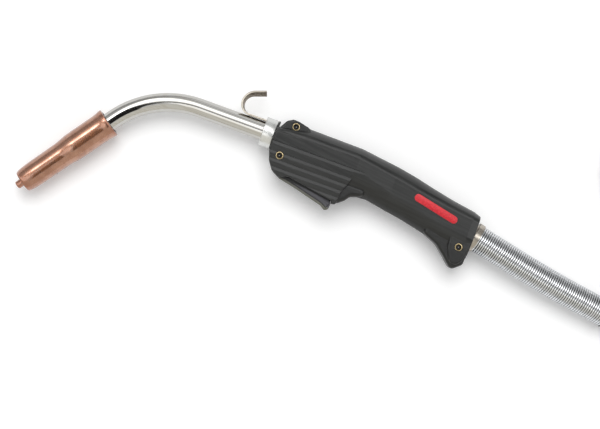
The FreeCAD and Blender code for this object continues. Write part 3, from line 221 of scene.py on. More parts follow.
# %% Lamp panels
PANEL = 2.4                         # brightness of the main lamp in reflections
HOT_PANEL = 6.5                     # of its core towards the left
LOW_PANEL = 1.6                     # of the lamp on the trigger's side
NEAR_SLANT, NEAR_EDGE = 0.3, (0.23, 0.29)       # each edge goes from its first slope to its second
FAR_SLANT, FAR_EDGE = 0.4, (0.88, 0.82)
LEFT_EDGE = (-0.94, -0.76)
CORE_ALONG, CORE_ACROSS, CORE_SOFT = (-0.62, -0.36), (0.12, 0.34), 0.04
LOW_ACROSS, LOW_SOFT, LOW_RIGHT_EDGE = (-0.577, -0.105), 0.03, (0.03, -0.02)

near_side = maths(room, "SUBTRACT", across, product(room, lengthwise, NEAR_SLANT))
far_side = maths(room, "ADD", across, product(room, lengthwise, FAR_SLANT))
main_panel = product(room, ramp(room, near_side, *NEAR_EDGE), ramp(room, far_side, *FAR_EDGE),
                     ramp(room, lengthwise, *LEFT_EDGE))
hot_core = product(room, between(room, lengthwise, *CORE_ALONG, CORE_SOFT),
                   between(room, across, *CORE_ACROSS, CORE_SOFT))
low_panel = product(room, between(room, across, *LOW_ACROSS, LOW_SOFT),
                    ramp(room, lengthwise, *LOW_RIGHT_EDGE))
print("brightness of the lamps:", PANEL, HOT_PANEL, LOW_PANEL)

# %% Dark gaps
GAP_LIGHT = 0.02                    # brightness of the gaps
WAIST, WAIST_HALF = -0.07, 0.045    # where the wedge starts to widen, and half its width up to there
WEDGE_OPENING = 0.3                 # growth of its half width from there on
WEDGE_SLANT, WEDGE_SHIFT, WEDGE_SOFT = 0.92, 0.035, 0.02
WEDGE_START, WEDGE_END = (-0.28, -0.18), (0.74, 0.6)
RIGHT_START, RIGHT_TOP, RIGHT_END = (-0.03, 0.03), (0.05, -0.02), (0.34, 0.2)     # of the small gap
SEAM, SEAM_SOFT = (1.85, 2.2), 0.08             # between the far walls

# The gap between the lamps is a wedge that runs obliquely and opens towards the right
from_waist = maths(room, "SUBTRACT", lengthwise, WAIST)
oblique = maths(room, "ADD", across, maths(room, "MULTIPLY_ADD", from_waist, WEDGE_SLANT, WEDGE_SHIFT))
to_right = maths(room, "MAXIMUM", from_waist, 0.0)
half_width = maths(room, "MULTIPLY_ADD", to_right, WEDGE_OPENING, WAIST_HALF)
beside = maths(room, "SUBTRACT", maths(room, "ABSOLUTE", oblique), half_width)
wedge = product(room, ramp(room, beside, WEDGE_SOFT, -WEDGE_SOFT), ramp(room, spread, *WEDGE_END),
                ramp(room, from_waist, *WEDGE_START))
right_gap = product(room, ramp(room, lengthwise, *RIGHT_START), ramp(room, across, *RIGHT_TOP),
                    ramp(room, spread, *RIGHT_END))
dark = largest(room, between(room, across, *SEAM, SEAM_SOFT), wedge, right_gap)
print("brightness of the gaps:", GAP_LIGHT)

# %% Walls
WALL, DIM_WALL = 0.83, 0.52         # brightness of the walls, and of the far left one
DIM_SPREAD, DIM_ALONG = (1.1, 1.5), (-0.8, -1.3)
RIGHT_LAMP, RIGHT_LAMP_SOFT = (0.0, 0.42), 0.04
RIGHT_WALL, RIGHT_WALL_EDGE = 0.42, (0.45, 0.6)
RIGHT_SIDE = (0.095, 0.115)         # where the right end of the room begins

far_left = product(room, ramp(room, spread, *DIM_SPREAD), ramp(room, lengthwise, *DIM_ALONG))
lit = largest(room, product(room, main_panel, mixed(room, hot_core, PANEL, HOT_PANEL)),
              mixed(room, far_left, WALL, DIM_WALL), product(room, low_panel, LOW_PANEL))
left_part = product(room, lit, mixed(room, dark, 1.0, GAP_LIGHT))

# The right end, which the spring mirrors, has a lower lamp and a dark wall behind it
right_lit = largest(room, product(room, between(room, across, *RIGHT_LAMP, RIGHT_LAMP_SOFT), PANEL),
                    ramp(room, across, *RIGHT_WALL_EDGE, WALL, RIGHT_WALL))
right_part = product(room, right_lit, mixed(room, wedge, 1.0, GAP_LIGHT))
on_right = ramp(room, lengthwise, *RIGHT_SIDE)
bright = maths(room, "ADD", product(room, right_part, on_right),
               product(room, left_part, maths(room, "SUBTRACT", 1.0, on_right)))
print("brightness of the walls:", WALL, DIM_WALL, RIGHT_WALL)

# %% Light of the room
ROOM_LIGHT = 0.61                   # on matt surfaces
WARM = (1.0, 0.97, 0.89)            # colour of the walls on the trigger's side
WARM_EDGE = (-0.3, -0.7)
light_path = node(room, "ShaderNodeLightPath")
mirrored = maths(room, "MAXIMUM", light_path.outputs["Is Glossy Ray"],
                 light_path.outputs["Is Transmission Ray"])


def white_shade(strength, colour=(1, 1, 1)):
    """A background of this strength, a number or an output."""
    shade = node(room, "ShaderNodeBackground")
    shade.inputs["Color"].default_value = (*colour, 1)
    feed(room, shade.inputs["Strength"], strength)
    return shade.outputs[0]


def choose(chooser, otherwise, chosen):
    """One of two backgrounds, or a mix of both."""
    mix = node(room, "ShaderNodeMixShader")
    for socket, output in zip(mix.inputs, (chooser, otherwise, chosen)):
        room.links.new(output, socket)
    return mix.outputs[0]


lit_or_seen = choose(light_path.outputs["Is Camera Ray"], white_shade(ROOM_LIGHT), white_shade(1.0))
warm_side = choose(ramp(room, across, *WARM_EDGE), white_shade(bright), white_shade(bright, WARM))
all_rays = choose(mirrored, lit_or_seen, warm_side)
room.links.new(all_rays, node(room, "ShaderNodeOutputWorld").inputs["Surface"])
bpy.context.scene.view_settings.view_transform = "Standard"
print("room nodes:", len(room.nodes))

# %% [markdown]
# ## Shared effects
#
# No real surface is one flat colour: metal carries faint stains, plastic a fine grain, drawn
# tube lengthwise streaks. Each of these effects serves many finishes, so it is built once as a
# node group with named inputs and placed in each material with its own values. The groups
# read object coordinates in metres, so a fineness of 200 means features about 5 mm wide.

# %% A group builder


def effect(name, inputs, output):
    """An empty node group with float inputs after its place, and one output."""
    made = bpy.data.node_groups.new(name, "ShaderNodeTree")
    made.interface.new_socket("Place", in_out="INPUT", socket_type="NodeSocketVector")
    for title, value in inputs.items():
        socket = made.interface.new_socket(title, in_out="INPUT", socket_type="NodeSocketFloat")
        socket.default_value = value
    made.interface.new_socket(output, in_out="OUTPUT", socket_type="NodeSocketFloat")
    return made, made.nodes.new("NodeGroupInput").outputs, made.nodes.new("NodeGroupOutput").inputs


# %% Stains
CLOUD_DETAIL, CLOUD_ROUGHNESS = 5.0, 0.6
stains, given, result = effect("stains", {"Fineness": 150.0, "Low": 0.4, "High": 0.65}, "Amount")
cloud = node(stains, "ShaderNodeTexNoise")
feed(stains, cloud.inputs["Vector"], given["Place"])
feed(stains, cloud.inputs["Scale"], given["Fineness"])
cloud.inputs["Detail"].default_value = CLOUD_DETAIL
cloud.inputs["Roughness"].default_value = CLOUD_ROUGHNESS
feed(stains, result["Amount"], ramp(stains, cloud.outputs["Fac"], given["Low"], given["High"]))
print("stains:", len(stains.nodes), "nodes")

# %% Streaks
FIBRE_DETAIL, FIBRE_RANGE = 3.0, (0.35, 0.65)
streaks, given, result = effect("streaks", {"Fineness": 900.0, "Stretch": 25.0}, "Amount")
squeeze = node(streaks, "ShaderNodeCombineXYZ")
feed(streaks, squeeze.inputs["X"], maths(streaks, "DIVIDE", given["Fineness"], given["Stretch"]))
feed(streaks, squeeze.inputs["Y"], given["Fineness"])
feed(streaks, squeeze.inputs["Z"], given["Fineness"])
stretched = node(streaks, "ShaderNodeVectorMath", operation="MULTIPLY")
feed(streaks, stretched.inputs[0], given["Place"])
feed(streaks, stretched.inputs[1], squeeze.outputs[0])
fibres = node(streaks, "ShaderNodeTexNoise")
fibres.inputs["Scale"].default_value = 1.0
fibres.inputs["Detail"].default_value = FIBRE_DETAIL
feed(streaks, fibres.inputs["Vector"], stretched.outputs[0])
feed(streaks, result["Amount"], ramp(streaks, fibres.outputs["Fac"], *FIBRE_RANGE))
print("streaks:", len(streaks.nodes), "nodes")

# %% Grain
PITS_SHARE, DUST_SHARE, DUST_FINENESS = 0.6, 0.4, 1.7
grain, given, result = effect("grain", {"Fineness": 2500.0}, "Height")
pits = node(grain, "ShaderNodeTexVoronoi", feature="SMOOTH_F1")
feed(grain, pits.inputs["Vector"], given["Place"])
feed(grain, pits.inputs["Scale"], given["Fineness"])
dust = node(grain, "ShaderNodeTexNoise")
feed(grain, dust.inputs["Vector"], given["Place"])
feed(grain, dust.inputs["Scale"], product(grain, given["Fineness"], DUST_FINENESS))
feed(grain, result["Height"], maths(grain, "ADD", product(grain, pits.outputs["Distance"], PITS_SHARE),
                                    product(grain, dust.outputs["Fac"], DUST_SHARE)))
print("grain:", len(grain.nodes), "nodes")

# %% [markdown]
# ## Finishes
#
# A finish here has two tones and two roughnesses, mixed by stains or streaks, and a fine
# relief from the grain. One function wires that up from a few numbers that a maker would
# think in: how metallic, how polished, how fine the grain and how deep. Pieces with a special
# look, such as heat-tinted copper, start from it and add their own nodes.

# %% The finish maker
finishes = {}
MIX_AMOUNT, MIX_FIRST, MIX_SECOND, MIX_RESULT = 0, 6, 7, 2      # a Mix node's colour sockets


def place_group(tree, group, place, **values):
    made = node(tree, "ShaderNodeGroup", node_tree=group)
    feed(tree, made.inputs["Place"], place)
    for title, value in values.items():
        made.inputs[title].default_value = value
    return made.outputs[0]


def blend_tones(tree, amount, dark, light):
    """A colour between two tones, each a colour or an output."""
    mix = node(tree, "ShaderNodeMix", data_type="RGBA")
    for index, value in ((MIX_AMOUNT, amount), (MIX_FIRST, dark), (MIX_SECOND, light)):
        if isinstance(value, tuple):
            value = (*value, 1.0)
        feed(tree, mix.inputs[index], value)
    return mix.outputs[MIX_RESULT]


def finish(name, dark, light, rough, metallic, uneven, relief=None, heading=0.0):
    """A material of two tones and two roughnesses with a fine relief, kept under its slot's name.

    uneven is ("stains" or "streaks", fineness), relief is (fineness, depth in mm), and heading
    is the direction of the streaks in the table's plane, in degrees.
    """
    made = finishes[name] = bpy.data.materials.new(name + "_finish")
    made.use_nodes = True
    tree = made.node_tree
    shader = tree.nodes["Principled BSDF"]
    place = node(tree, "ShaderNodeTexCoord").outputs["Object"]
    if heading:
        turn = node(tree, "ShaderNodeMapping")
        turn.inputs["Rotation"].default_value = (0, 0, -math.radians(heading))
        feed(tree, turn.inputs["Vector"], place)
        place = turn.outputs[0]
    kind, fineness = uneven
    amount = place_group(tree, streaks if kind == "streaks" else stains, place, Fineness=fineness)
    feed(tree, shader.inputs["Base Color"], blend_tones(tree, amount, dark, light))
    feed(tree, shader.inputs["Roughness"], mixed(tree, amount, *rough))
    shader.inputs["Metallic"].default_value = metallic
    if relief:
        relief_fineness, depth = relief
        bump = node(tree, "ShaderNodeBump")
        bump.inputs["Distance"].default_value = depth * MM
        feed(tree, bump.inputs["Height"], place_group(tree, grain, place, Fineness=relief_fineness))
        feed(tree, shader.inputs["Normal"], bump.outputs[0])
    return made


def parts_of(material):
    """The tree of a finish and the outputs of its coordinates, for additions."""
    tree = material.node_tree
    return tree, next(n for n in tree.nodes if n.bl_idname == "ShaderNodeTexCoord").outputs


def apart(tree, vector):
    """The X, Y and Z of a vector."""
    made = node(tree, "ShaderNodeSeparateXYZ")
    feed(tree, made.inputs[0], vector)
    return made.outputs


def overpaint(tree, mask, colour):
    """Lays a colour over the finish where the mask is 1."""
    cover = tree.nodes["Principled BSDF"].inputs["Base Color"]
    feed(tree, cover, blend_tones(tree, mask, cover.links[0].from_socket, colour))


# %% [markdown]
# ## Metals
#
# The gun tube is drawn and bright-plated, so its streaks run lengthwise and it mirrors the
# room almost cleanly. The copper nozzle is polished too, but handled: it has soft stains, and
# its ends are a shade browner from the heat of welding. A clear coat of air-dulled metal over
# the copper gives its highlight a whiter centre than bare copper has.

# %% Copper


def in_the_plane(heading):
    """A level direction at this angle in radians."""
    return Vector((math.cos(heading), math.sin(heading), 0))


NECK_HEADING = 234.5                # of the nozzle's axis, degrees
NECK_DIRECTION = in_the_plane(math.radians(NECK_HEADING))
BEND_END = Vector((-182.241 * MM, -39.833 * MM, AXIS_HEIGHT))
NOZZLE_REAR, NOZZLE_FRONT = 5.7, 110.7      # mm along the axis from the end of the bend
HEATED_REAR, HEATED_FRONT = (4, 1), (-9, 0)     # mm from each end of the nozzle
HEAT_TINT, HEAT_SHARE = (0.30, 0.085, 0.035), 0.45
COAT_WEIGHT, COAT_IOR, COAT_ROUGHNESS = 1.0, 1.8, 0.06

copper = finish("copper", (0.35, 0.145, 0.075), (0.44, 0.21, 0.125), (0.28, 0.22), 1.0,
                ("stains", 120.0), (1800.0, 0.002), NECK_HEADING)
tree, given = parts_of(copper)
along = maths(tree, "SUBTRACT", dot(tree, given["Object"], NECK_DIRECTION), BEND_END.dot(NECK_DIRECTION))
heated = largest(tree, ramp(tree, along, *((NOZZLE_REAR + edge) * MM for edge in HEATED_REAR)),
                 ramp(tree, along, *((NOZZLE_FRONT + edge) * MM for edge in HEATED_FRONT)))
overpaint(tree, product(tree, heated, HEAT_SHARE), HEAT_TINT)
shader = tree.nodes["Principled BSDF"]
shader.inputs["Coat Weight"].default_value = COAT_WEIGHT
shader.inputs["Coat IOR"].default_value = COAT_IOR
shader.inputs["Coat Roughness"].default_value = COAT_ROUGHNESS
print("nozzle's axis:", [round(part, 3) for part in NECK_DIRECTION])

# %% Bright plate and steels
chrome = finish("chrome", (0.53, 0.515, 0.48), (0.575, 0.57, 0.55), (0.075, 0.05), 1.0,
                ("streaks", 700.0))
finish("nickel_steel", (0.40, 0.345, 0.28), (0.55, 0.505, 0.44), (0.34, 0.25), 1.0,
       ("stains", 320.0), (3000.0, 0.004))
spring_steel = finish("spring_steel", (0.66, 0.675, 0.69), (0.78, 0.79, 0.81), (0.10, 0.07), 1.0,
                      ("stains", 260.0))
steel = finish("steel", (0.42, 0.42, 0.42), (0.55, 0.55, 0.545), (0.38, 0.26), 1.0, ("stains", 400.0),
               (2500.0, 0.004))
black_steel = finish("black_steel", (0.020, 0.020, 0.022), (0.050, 0.050, 0.052), (0.42, 0.30), 1.0,
                     ("stains", 600.0), (3000.0, 0.004))
finish("liner_steel", (0.40, 0.40, 0.41), (0.52, 0.52, 0.53), (0.42, 0.3), 1.0,
       ("streaks", 900.0))
print("finishes so far:", len(finishes))

# %% Hook nickel
LEVEL = (0.6, 0.8)                  # how upright the facing of a level surface is
# Share and tone of the painted highlight on the strip's edges
EDGE_HIGHLIGHT_SHARE, EDGE_HIGHLIGHT_TONE = 0.85, (0.62, 0.575, 0.50)
hook_nickel = finish("hook_nickel", (0.20, 0.165, 0.125), (0.40, 0.355, 0.30), (0.46, 0.34), 1.0,
                     ("stains", 420.0), (3000.0, 0.006))

# A painted highlight: the strip's edges face up and down, and are painted brighter than its rolled sides
tree, given = parts_of(hook_nickel)
upright = maths(tree, "ABSOLUTE", apart(tree, given["Normal"])["Z"])
overpaint(tree, ramp(tree, upright, *LEVEL, 0.0, EDGE_HIGHLIGHT_SHARE), EDGE_HIGHLIGHT_TONE)
print("hook nickel:", len(tree.nodes), "nodes")

# %% Brass and aluminium
SOCKETS = [(-7.9, 14.6), (-13.7, -17.8), (184.1, -42.5)]        # mm, the barrel nuts' axes
# Edge and tone of the painted shade in the nuts' sockets
SOCKET_SHADE_EDGE, SOCKET_SHADE = (3.15 * MM, 2.9 * MM), (0.03, 0.025, 0.015)
brass = finish("brass", (0.48, 0.37, 0.19), (0.68, 0.56, 0.34), (0.34, 0.24), 1.0, ("stains", 500.0),
               (4000.0, 0.003))

# Painted shade: the nuts' hexagon sockets are painted dark, so the brass darkens near each nut's axis
tree, given = parts_of(brass)
here = apart(tree, given["Object"])
socket_shade = 0.0
for axis in SOCKETS:
    aside = [maths(tree, "SUBTRACT", part, middle * MM) for part, middle in zip(here, axis)]
    away = maths(tree, "SQRT", maths(tree, "ADD", *(product(tree, side, side) for side in aside)))
    socket_shade = largest(tree, socket_shade, ramp(tree, away, *SOCKET_SHADE_EDGE))
overpaint(tree, socket_shade, SOCKET_SHADE)

collar_aluminium = finish("collar_aluminium", (0.64, 0.65, 0.635), (0.80, 0.805, 0.785), (0.32, 0.24),
                          1.0, ("stains", 1500.0), (3500.0, 0.02))
print("finishes so far:", len(finishes))

# %% [markdown]
# ## Plastics and rubber
#
# The handle is glass-filled nylon, nearly black. Moulded nylon flows lengthwise and leaves
# faint streaks, and a fine spark-eroded texture makes its sheen broad and soft. The trigger is
# the same plastic a shade bluer. Rubber is matt and slightly dusty, so its lighter tone comes
# in soft patches.

# %% Handle plastic
GRIP_UP, GRIP_MIDDLE = (0.17, 0.985, 0), -8 * MM
# Where the painted shade on the grip's lower side lies, and its tone
SHADE_BELOW, SHADE_BEHIND = (-8 * MM, 14 * MM), (48 * MM, 72 * MM)
GRIP_SHADE = (0.0035, 0.0037, 0.0032)
handle_plastic = finish("handle_plastic", (0.009, 0.0095, 0.0092), (0.017, 0.0178, 0.0172), (0.29, 0.35),
                        0.0, ("streaks", 420.0), (2600.0, 0.02), -6.0)

# Painted shade: the lower side of the grip is painted darker towards the rear
tree, given = parts_of(handle_plastic)
lower = maths(tree, "SUBTRACT", GRIP_MIDDLE, dot(tree, given["Object"], GRIP_UP))
rearwards = ramp(tree, dot(tree, given["Object"], (1, 0, 0)), *SHADE_BEHIND)
overpaint(tree, product(tree, ramp(tree, lower, *SHADE_BELOW), rearwards), GRIP_SHADE)
print("handle plastic:", len(tree.nodes), "nodes")

# %% Trigger plastic
TRIGGER_HALF, TRIGGER_GROOVE = 11.0 * MM, 0.9 * MM
GROOVE_EDGES = (0.3, 0.6)           # shares of the groove's width, from the rim inwards
GAP_SLOPE, GAP_BOW, GAP_EDGE = -0.07, -1.1, (-38.3 * MM, -37.7 * MM)
RIM_SLOPE, RIM_EDGE = -0.245, (-37.9 * MM, -38.4 * MM)
RIM_TONE, SHADE_TONE = (0.10, 0.10, 0.078), (0.004, 0.004, 0.004)
trigger_plastic = finish("trigger_plastic", (0.062, 0.061, 0.070), (0.105, 0.104, 0.117), (0.30, 0.38),
                         0.0, ("streaks", 500.0), (2600.0, 0.015), -12.0)

# The trigger's rim groove is painted dark as shade, and a painted shadow runs along the gap by the handle;
# its rim is slightly greener
tree, given = parts_of(trigger_plastic)
x, y, z = apart(tree, given["Object"])
from_middle = maths(tree, "ABSOLUTE", maths(tree, "SUBTRACT", z, AXIS_HEIGHT))
level = ramp(tree, maths(tree, "ABSOLUTE", apart(tree, given["Normal"])["Z"]), *LEVEL)
groove = product(tree, level, ramp(tree, from_middle, *(TRIGGER_HALF - edge * TRIGGER_GROOVE
                                                        for edge in GROOVE_EDGES)))
gap_line = maths(tree, "ADD", product(tree, x, GAP_SLOPE), product(tree, x, x, GAP_BOW))
gap = ramp(tree, maths(tree, "SUBTRACT", y, gap_line), *GAP_EDGE)
rim = ramp(tree, maths(tree, "SUBTRACT", y, product(tree, x, RIM_SLOPE)), *RIM_EDGE)
overpaint(tree, rim, RIM_TONE)
# Painted shade in the groove and a painted shadow along the handle's edge
overpaint(tree, largest(tree, groove, gap), SHADE_TONE)
print("trigger plastic:", len(tree.nodes), "nodes")

# %% Other plastics, rubbers and the ferrule's nickel
connector_plastic = finish("connector_plastic", (0.012, 0.012, 0.013), (0.022, 0.022, 0.023), (0.40, 0.50),
                           0.0, ("stains", 200.0), (2200.0, 0.03))
finish("switch_plastic", (0.02, 0.02, 0.022), (0.03, 0.03, 0.032), (0.35, 0.45),
       0.0, ("stains", 500.0), (3000.0, 0.01))
badge_red = finish("badge_red", (0.50, 0.012, 0.022), (0.72, 0.026, 0.038), (0.32, 0.42),
                   0.0, ("stains", 900.0), (1500.0, 0.01))
ferrule_nickel = finish("ferrule_nickel", (0.40, 0.36, 0.31), (0.52, 0.48, 0.42), (0.30, 0.22),
                        1.0, ("stains", 300.0), (2500.0, 0.006))
finish("tube_insulation", (0.55, 0.53, 0.46), (0.64, 0.61, 0.54), (0.5, 0.6),
       0.0, ("stains", 260.0), (1800.0, 0.02))
finish("nozzle_insulation", (0.060, 0.030, 0.018), (0.095, 0.05, 0.03), (0.45, 0.55),
       0.0, ("stains", 350.0), (2200.0, 0.02))
finish("lead_insulation", (0.45, 0.44, 0.42), (0.58, 0.57, 0.54), (0.4, 0.5),
       0.0, ("stains", 500.0), (3000.0, 0.01))
cable_rubber = finish("cable_rubber", (0.014, 0.014, 0.014), (0.030, 0.030, 0.029), (0.50, 0.64),
                      0.0, ("stains", 90.0), (1600.0, 0.05))
strap_weave = finish("strap_weave", (0.010, 0.010, 0.011), (0.034, 0.034, 0.036), (0.62, 0.78),
                     0.0, ("streaks", 2200.0), (1500.0, 0.12))
seal_rubber = finish("seal_rubber", (0.012, 0.012, 0.012), (0.026, 0.026, 0.025), (0.55, 0.68),
                     0.0, ("stains", 160.0), (1800.0, 0.05))
print("finishes made:", len(finishes))

# %% Dress the solids
for solid in nodes.values():
    for slot in solid.material_slots:
        slot.material = finishes[slot.material.name]
nodes["handle_screws"].material_slots[0].material = black_steel
print("solids dressed:", len(nodes))

# %% [markdown]
# ## Turned pieces
#
# The copper nozzle, the contact tip and the ferrule behind the handle are all turned on a
# lathe, so each is one outline spun about an axis. A circle is added at the outline's first
# point, and every further point is an extrusion of that rim, moved along the axis and resized.
# Going out along the outside and back along the bore gives the wall its real thickness.

# %% The lathe
LATHE_SIDES = 128
SAME_SPOT = 0.005 * MM              # vertices closer than this are one
SMOOTH_ANGLE = math.radians(32)     # faces that meet at less than this are shaded as one surface


def start_editing(piece):
    bpy.ops.object.select_all(action="DESELECT")
    piece.select_set(True)
    bpy.context.view_layer.objects.active = piece
    bpy.ops.object.mode_set(mode="EDIT")
    bpy.ops.mesh.select_all(action="SELECT")


def finish_editing(piece, name, material, body, slot, *replaced):
    """Leaves edit mode, puts the piece's place into its mesh and attaches it to its body, hiding the
    solids it replaces.
    """
    bpy.ops.object.mode_set(mode="OBJECT")
    bpy.ops.object.transform_apply(location=True, rotation=True, scale=True)
    bpy.ops.object.shade_smooth_by_angle(angle=SMOOTH_ANGLE)
    piece.name = name
    piece.data.materials.clear()
    piece.data.materials.append(material)
    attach(piece, body)
    if replaced:
        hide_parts(*replaced)
    print(name, "has", len(piece.data.polygons), "faces")


def turned_piece(outline, place, direction):
    """Spins an outline of (distance along the axis, radius) points in mm, left in edit mode."""
    start, radius = outline[0]
    bpy.ops.mesh.primitive_circle_add(vertices=LATHE_SIDES, radius=radius * MM,
                                      location=place + direction * start * MM,
                                      rotation=direction.to_track_quat("Z", "Y").to_euler())
    piece = bpy.context.object
    start_editing(piece)
    for (before, from_radius), (after, to_radius) in zip(outline, outline[1:]):
        shift = direction * (after - before) * MM
        bpy.ops.mesh.extrude_edges_move(TRANSFORM_OT_translate={"value": shift})
        grow = to_radius / from_radius
        centre = place + direction * after * MM
        bpy.ops.transform.resize(value=(grow, grow, grow), center_override=centre)
    bpy.ops.mesh.select_all(action="SELECT")
    bpy.ops.mesh.remove_doubles(threshold=SAME_SPOT)
    bpy.ops.mesh.normals_make_consistent(inside=False)
    return piece


def curved(start, bulge, end, count):
    """Points along a gentle curve between two outline points, pulled towards a third."""
    points = []
    for i in range(1, count + 1):
        t = i / count
        points.append(tuple(a * (1 - t) ** 2 + 2 * b * t * (1 - t) + c * t * t
                            for a, b, c in zip(start, bulge, end)))
    return points


# %% Copper nozzle
LIP_R, BARREL_R, SLEEVE_R, TAPER_R = 15.2, 14.4, 13.0, 12.8     # outside, from the rear to the front
REAR_BORE_R, MIDDLE_BORE_R, MOUTH_R = 12.08, 10.3, 7.95         # inside, in the same order
nozzle_outline = [(NOZZLE_REAR, REAR_BORE_R), (NOZZLE_REAR, 14.5), (5.85, 14.9), (6.1, 15.12),
                  (6.5, LIP_R), (8.7, LIP_R)]
nozzle_outline += curved((8.7, LIP_R), (10.5, 15.15), (12.2, 14.7), 4)
nozzle_outline += curved((12.2, 14.7), (15.5, BARREL_R), (19.7, BARREL_R), 4)
nozzle_outline += [(46.65, BARREL_R)]
nozzle_outline += curved((46.65, BARREL_R), (50.8, BARREL_R), (55.6, 13.7), 6)
nozzle_outline += curved((55.6, 13.7), (60.4, SLEEVE_R), (64.5, SLEEVE_R), 6)
nozzle_outline += [(94.7, TAPER_R)]
nozzle_outline += curved((94.7, TAPER_R), (106.5, 12.6), (109.9, 11.15), 8)
nozzle_outline += [(110.5, 10.8), (NOZZLE_FRONT, 10.4), (NOZZLE_FRONT, 8.2), (110.55, MOUTH_R),
                   (96.7, MOUTH_R), (80.7, MIDDLE_BORE_R), (64.5, MIDDLE_BORE_R), (46.65, REAR_BORE_R),
                   (NOZZLE_REAR, REAR_BORE_R)]
nozzle = turned_piece(nozzle_outline, BEND_END, NECK_DIRECTION)
finish_editing(nozzle, "copper_nozzle", copper, "gas_nozzle", "copper", "gas_nozzle")

# %% Contact tip
TIP_REAR, TIP_END = 79.4, 117.4
TIP_R, STEM_R, WIRE_BORE_R = 3.97, 3.2, 0.65
tip_outline = [(TIP_REAR, 1.55), (TIP_REAR, STEM_R), (88.4, STEM_R), (88.4, TIP_R), (116.1, TIP_R)]
tip_outline += curved((116.1, TIP_R), (116.9, 3.9), (TIP_END, 3.0), 5)
tip_outline += [(TIP_END, 0.85), (TIP_END - 0.2, WIRE_BORE_R), (81.4, WIRE_BORE_R), (TIP_REAR, 1.55)]
tip = turned_piece(tip_outline, BEND_END, NECK_DIRECTION)
finish_editing(tip, "copper_tip", copper, "gun_tube", "copper", "contact_tip")

# %% Ferrule
EXIT = Vector((195.0 * MM, -26.81 * MM, AXIS_HEIGHT))
EXIT_DIRECTION = in_the_plane(math.radians(-11.81))
ferrule_outline = [(-14.0, 10.3), (-14.0, 12.5), (0.05, 12.5), (0.05, 14.6), (0.3, 14.9), (5.3, 14.9),
                   (5.75, 14.8), (6.0, 14.5), (6.0, 14.35), (1.7, 14.35), (1.7, 10.3), (-14.0, 10.3)]
ferrule = turned_piece(ferrule_outline, EXIT, EXIT_DIRECTION)
finish_editing(ferrule, "spring_ferrule", ferrule_nickel, "handle", "nickel_steel", "rear_ferrule")

# %% [markdown]
# ## The gun tube
#
# The neck is one bright tube, bent on a mandrel. Its rim is a circle at the rear, extruded
# along the straight stretch, spun about the centre of the bend and extruded again into the
# nozzle. The spin operator counts its angle clockwise about the axis, so the bend towards the
# trigger's side is a negative one. The wall comes last, from a Solidify modifier, so that both
# faces stay parallel.

# %% Gun tube
TUBE_R, TUBE_WALL = 9.525 * MM, 1.3 * MM
TUBE_REAR, BEND_START = -13.0 * MM, -104.9 * MM
BEND_R, BEND_ANGLE = 95.0 * MM, math.radians(54.5)
TUBE_IN_NOZZLE = 34.0 * MM
BEND_STEPS = 60

bpy.ops.mesh.primitive_circle_add(vertices=LATHE_SIDES, radius=TUBE_R, rotation=(0, math.radians(90), 0),
                                  location=(TUBE_REAR, 0, AXIS_HEIGHT))
tube = bpy.context.object
start_editing(tube)
bpy.ops.mesh.extrude_edges_move(TRANSFORM_OT_translate={"value": (BEND_START - TUBE_REAR, 0, 0)})
bpy.ops.mesh.spin(steps=BEND_STEPS, angle=-BEND_ANGLE, axis=(0, 0, 1),
                  center=(BEND_START, -BEND_R, AXIS_HEIGHT))
bpy.ops.mesh.extrude_edges_move(TRANSFORM_OT_translate={"value": NECK_DIRECTION * TUBE_IN_NOZZLE})
bpy.ops.mesh.select_all(action="SELECT")
bpy.ops.mesh.remove_doubles(threshold=SAME_SPOT)
bpy.ops.mesh.normals_make_consistent(inside=False)
bpy.ops.object.mode_set(mode="OBJECT")
wall = tube.modifiers.new("wall", "SOLIDIFY")
wall.thickness, wall.offset = TUBE_WALL, -1
wall.use_even_offset = True
bpy.ops.object.modifier_apply(modifier="wall")
start_editing(tube)
finish_editing(tube, "bright_tube", chrome, "gun_tube", "chrome", "gun_tube_jacket")

# %% [markdown]
# ## The hanger hook
#
# The hook is a flat strip, held on edge by the collar and bent first away from the tube and
# then back along it. A fitter bends it by hand, so it leans more and more on the way. The
# strip's small end face is added at the collar and extruded from place to place; at each one
# it is turned to face along X, tipped by the lean and turned on to its new heading, so the
# strip keeps its section all along.

# %% Rounding edges
SHARP = math.radians(35)            # only edges that turn by more than this are rounded


def round_edges(piece, width, segments):
    edge = piece.modifiers.new("edge", "BEVEL")
    edge.width, edge.segments = width, segments
    edge.limit_method, edge.angle_limit = "ANGLE", SHARP
    bpy.ops.object.modifier_apply(modifier="edge")


# %% Hook
HOOK_WIDTH, HOOK_THICK = 9.0 * MM, 1.8 * MM
HOOK_Y, HOOK_SEAT_Z = 10.75 * MM, 21.2 * MM
HOOK_FRONT, HOOK_BEND = -31.5 * MM, -56.3 * MM
FIRST_BEND, SECOND_BEND = (10.0 * MM, 90.0), (12.4 * MM, 70.0)
HOOK_TAIL = 11.8 * MM
HOOK_LEAN = math.radians(28)        # of the tail, out of the vertical
HOOK_STEPS = 8                      # in each bend
HOOK_ROUNDING = 0.35 * MM

spots = [(Vector((HOOK_FRONT, HOOK_Y, HOOK_SEAT_Z)), math.pi, 0.0)]
spots.append((Vector((HOOK_BEND, HOOK_Y, HOOK_SEAT_Z)), math.pi, 0.0))
for bend_radius, turn in (FIRST_BEND, SECOND_BEND):
    for i in range(HOOK_STEPS):
        spot, heading, lean = spots[-1]
        step = math.radians(turn / HOOK_STEPS)
        spot = spot + in_the_plane(heading - step / 2) * 2 * bend_radius * math.sin(step / 2)
        share = (len(spots) - 1) / (2 * HOOK_STEPS)
        spot.z = HOOK_SEAT_Z + (AXIS_HEIGHT - HOOK_SEAT_Z) * share
        spots.append((spot, heading - step, HOOK_LEAN * share))
spot, heading, lean = spots[-1]
spots.append((spot + in_the_plane(heading) * HOOK_TAIL, heading, lean))

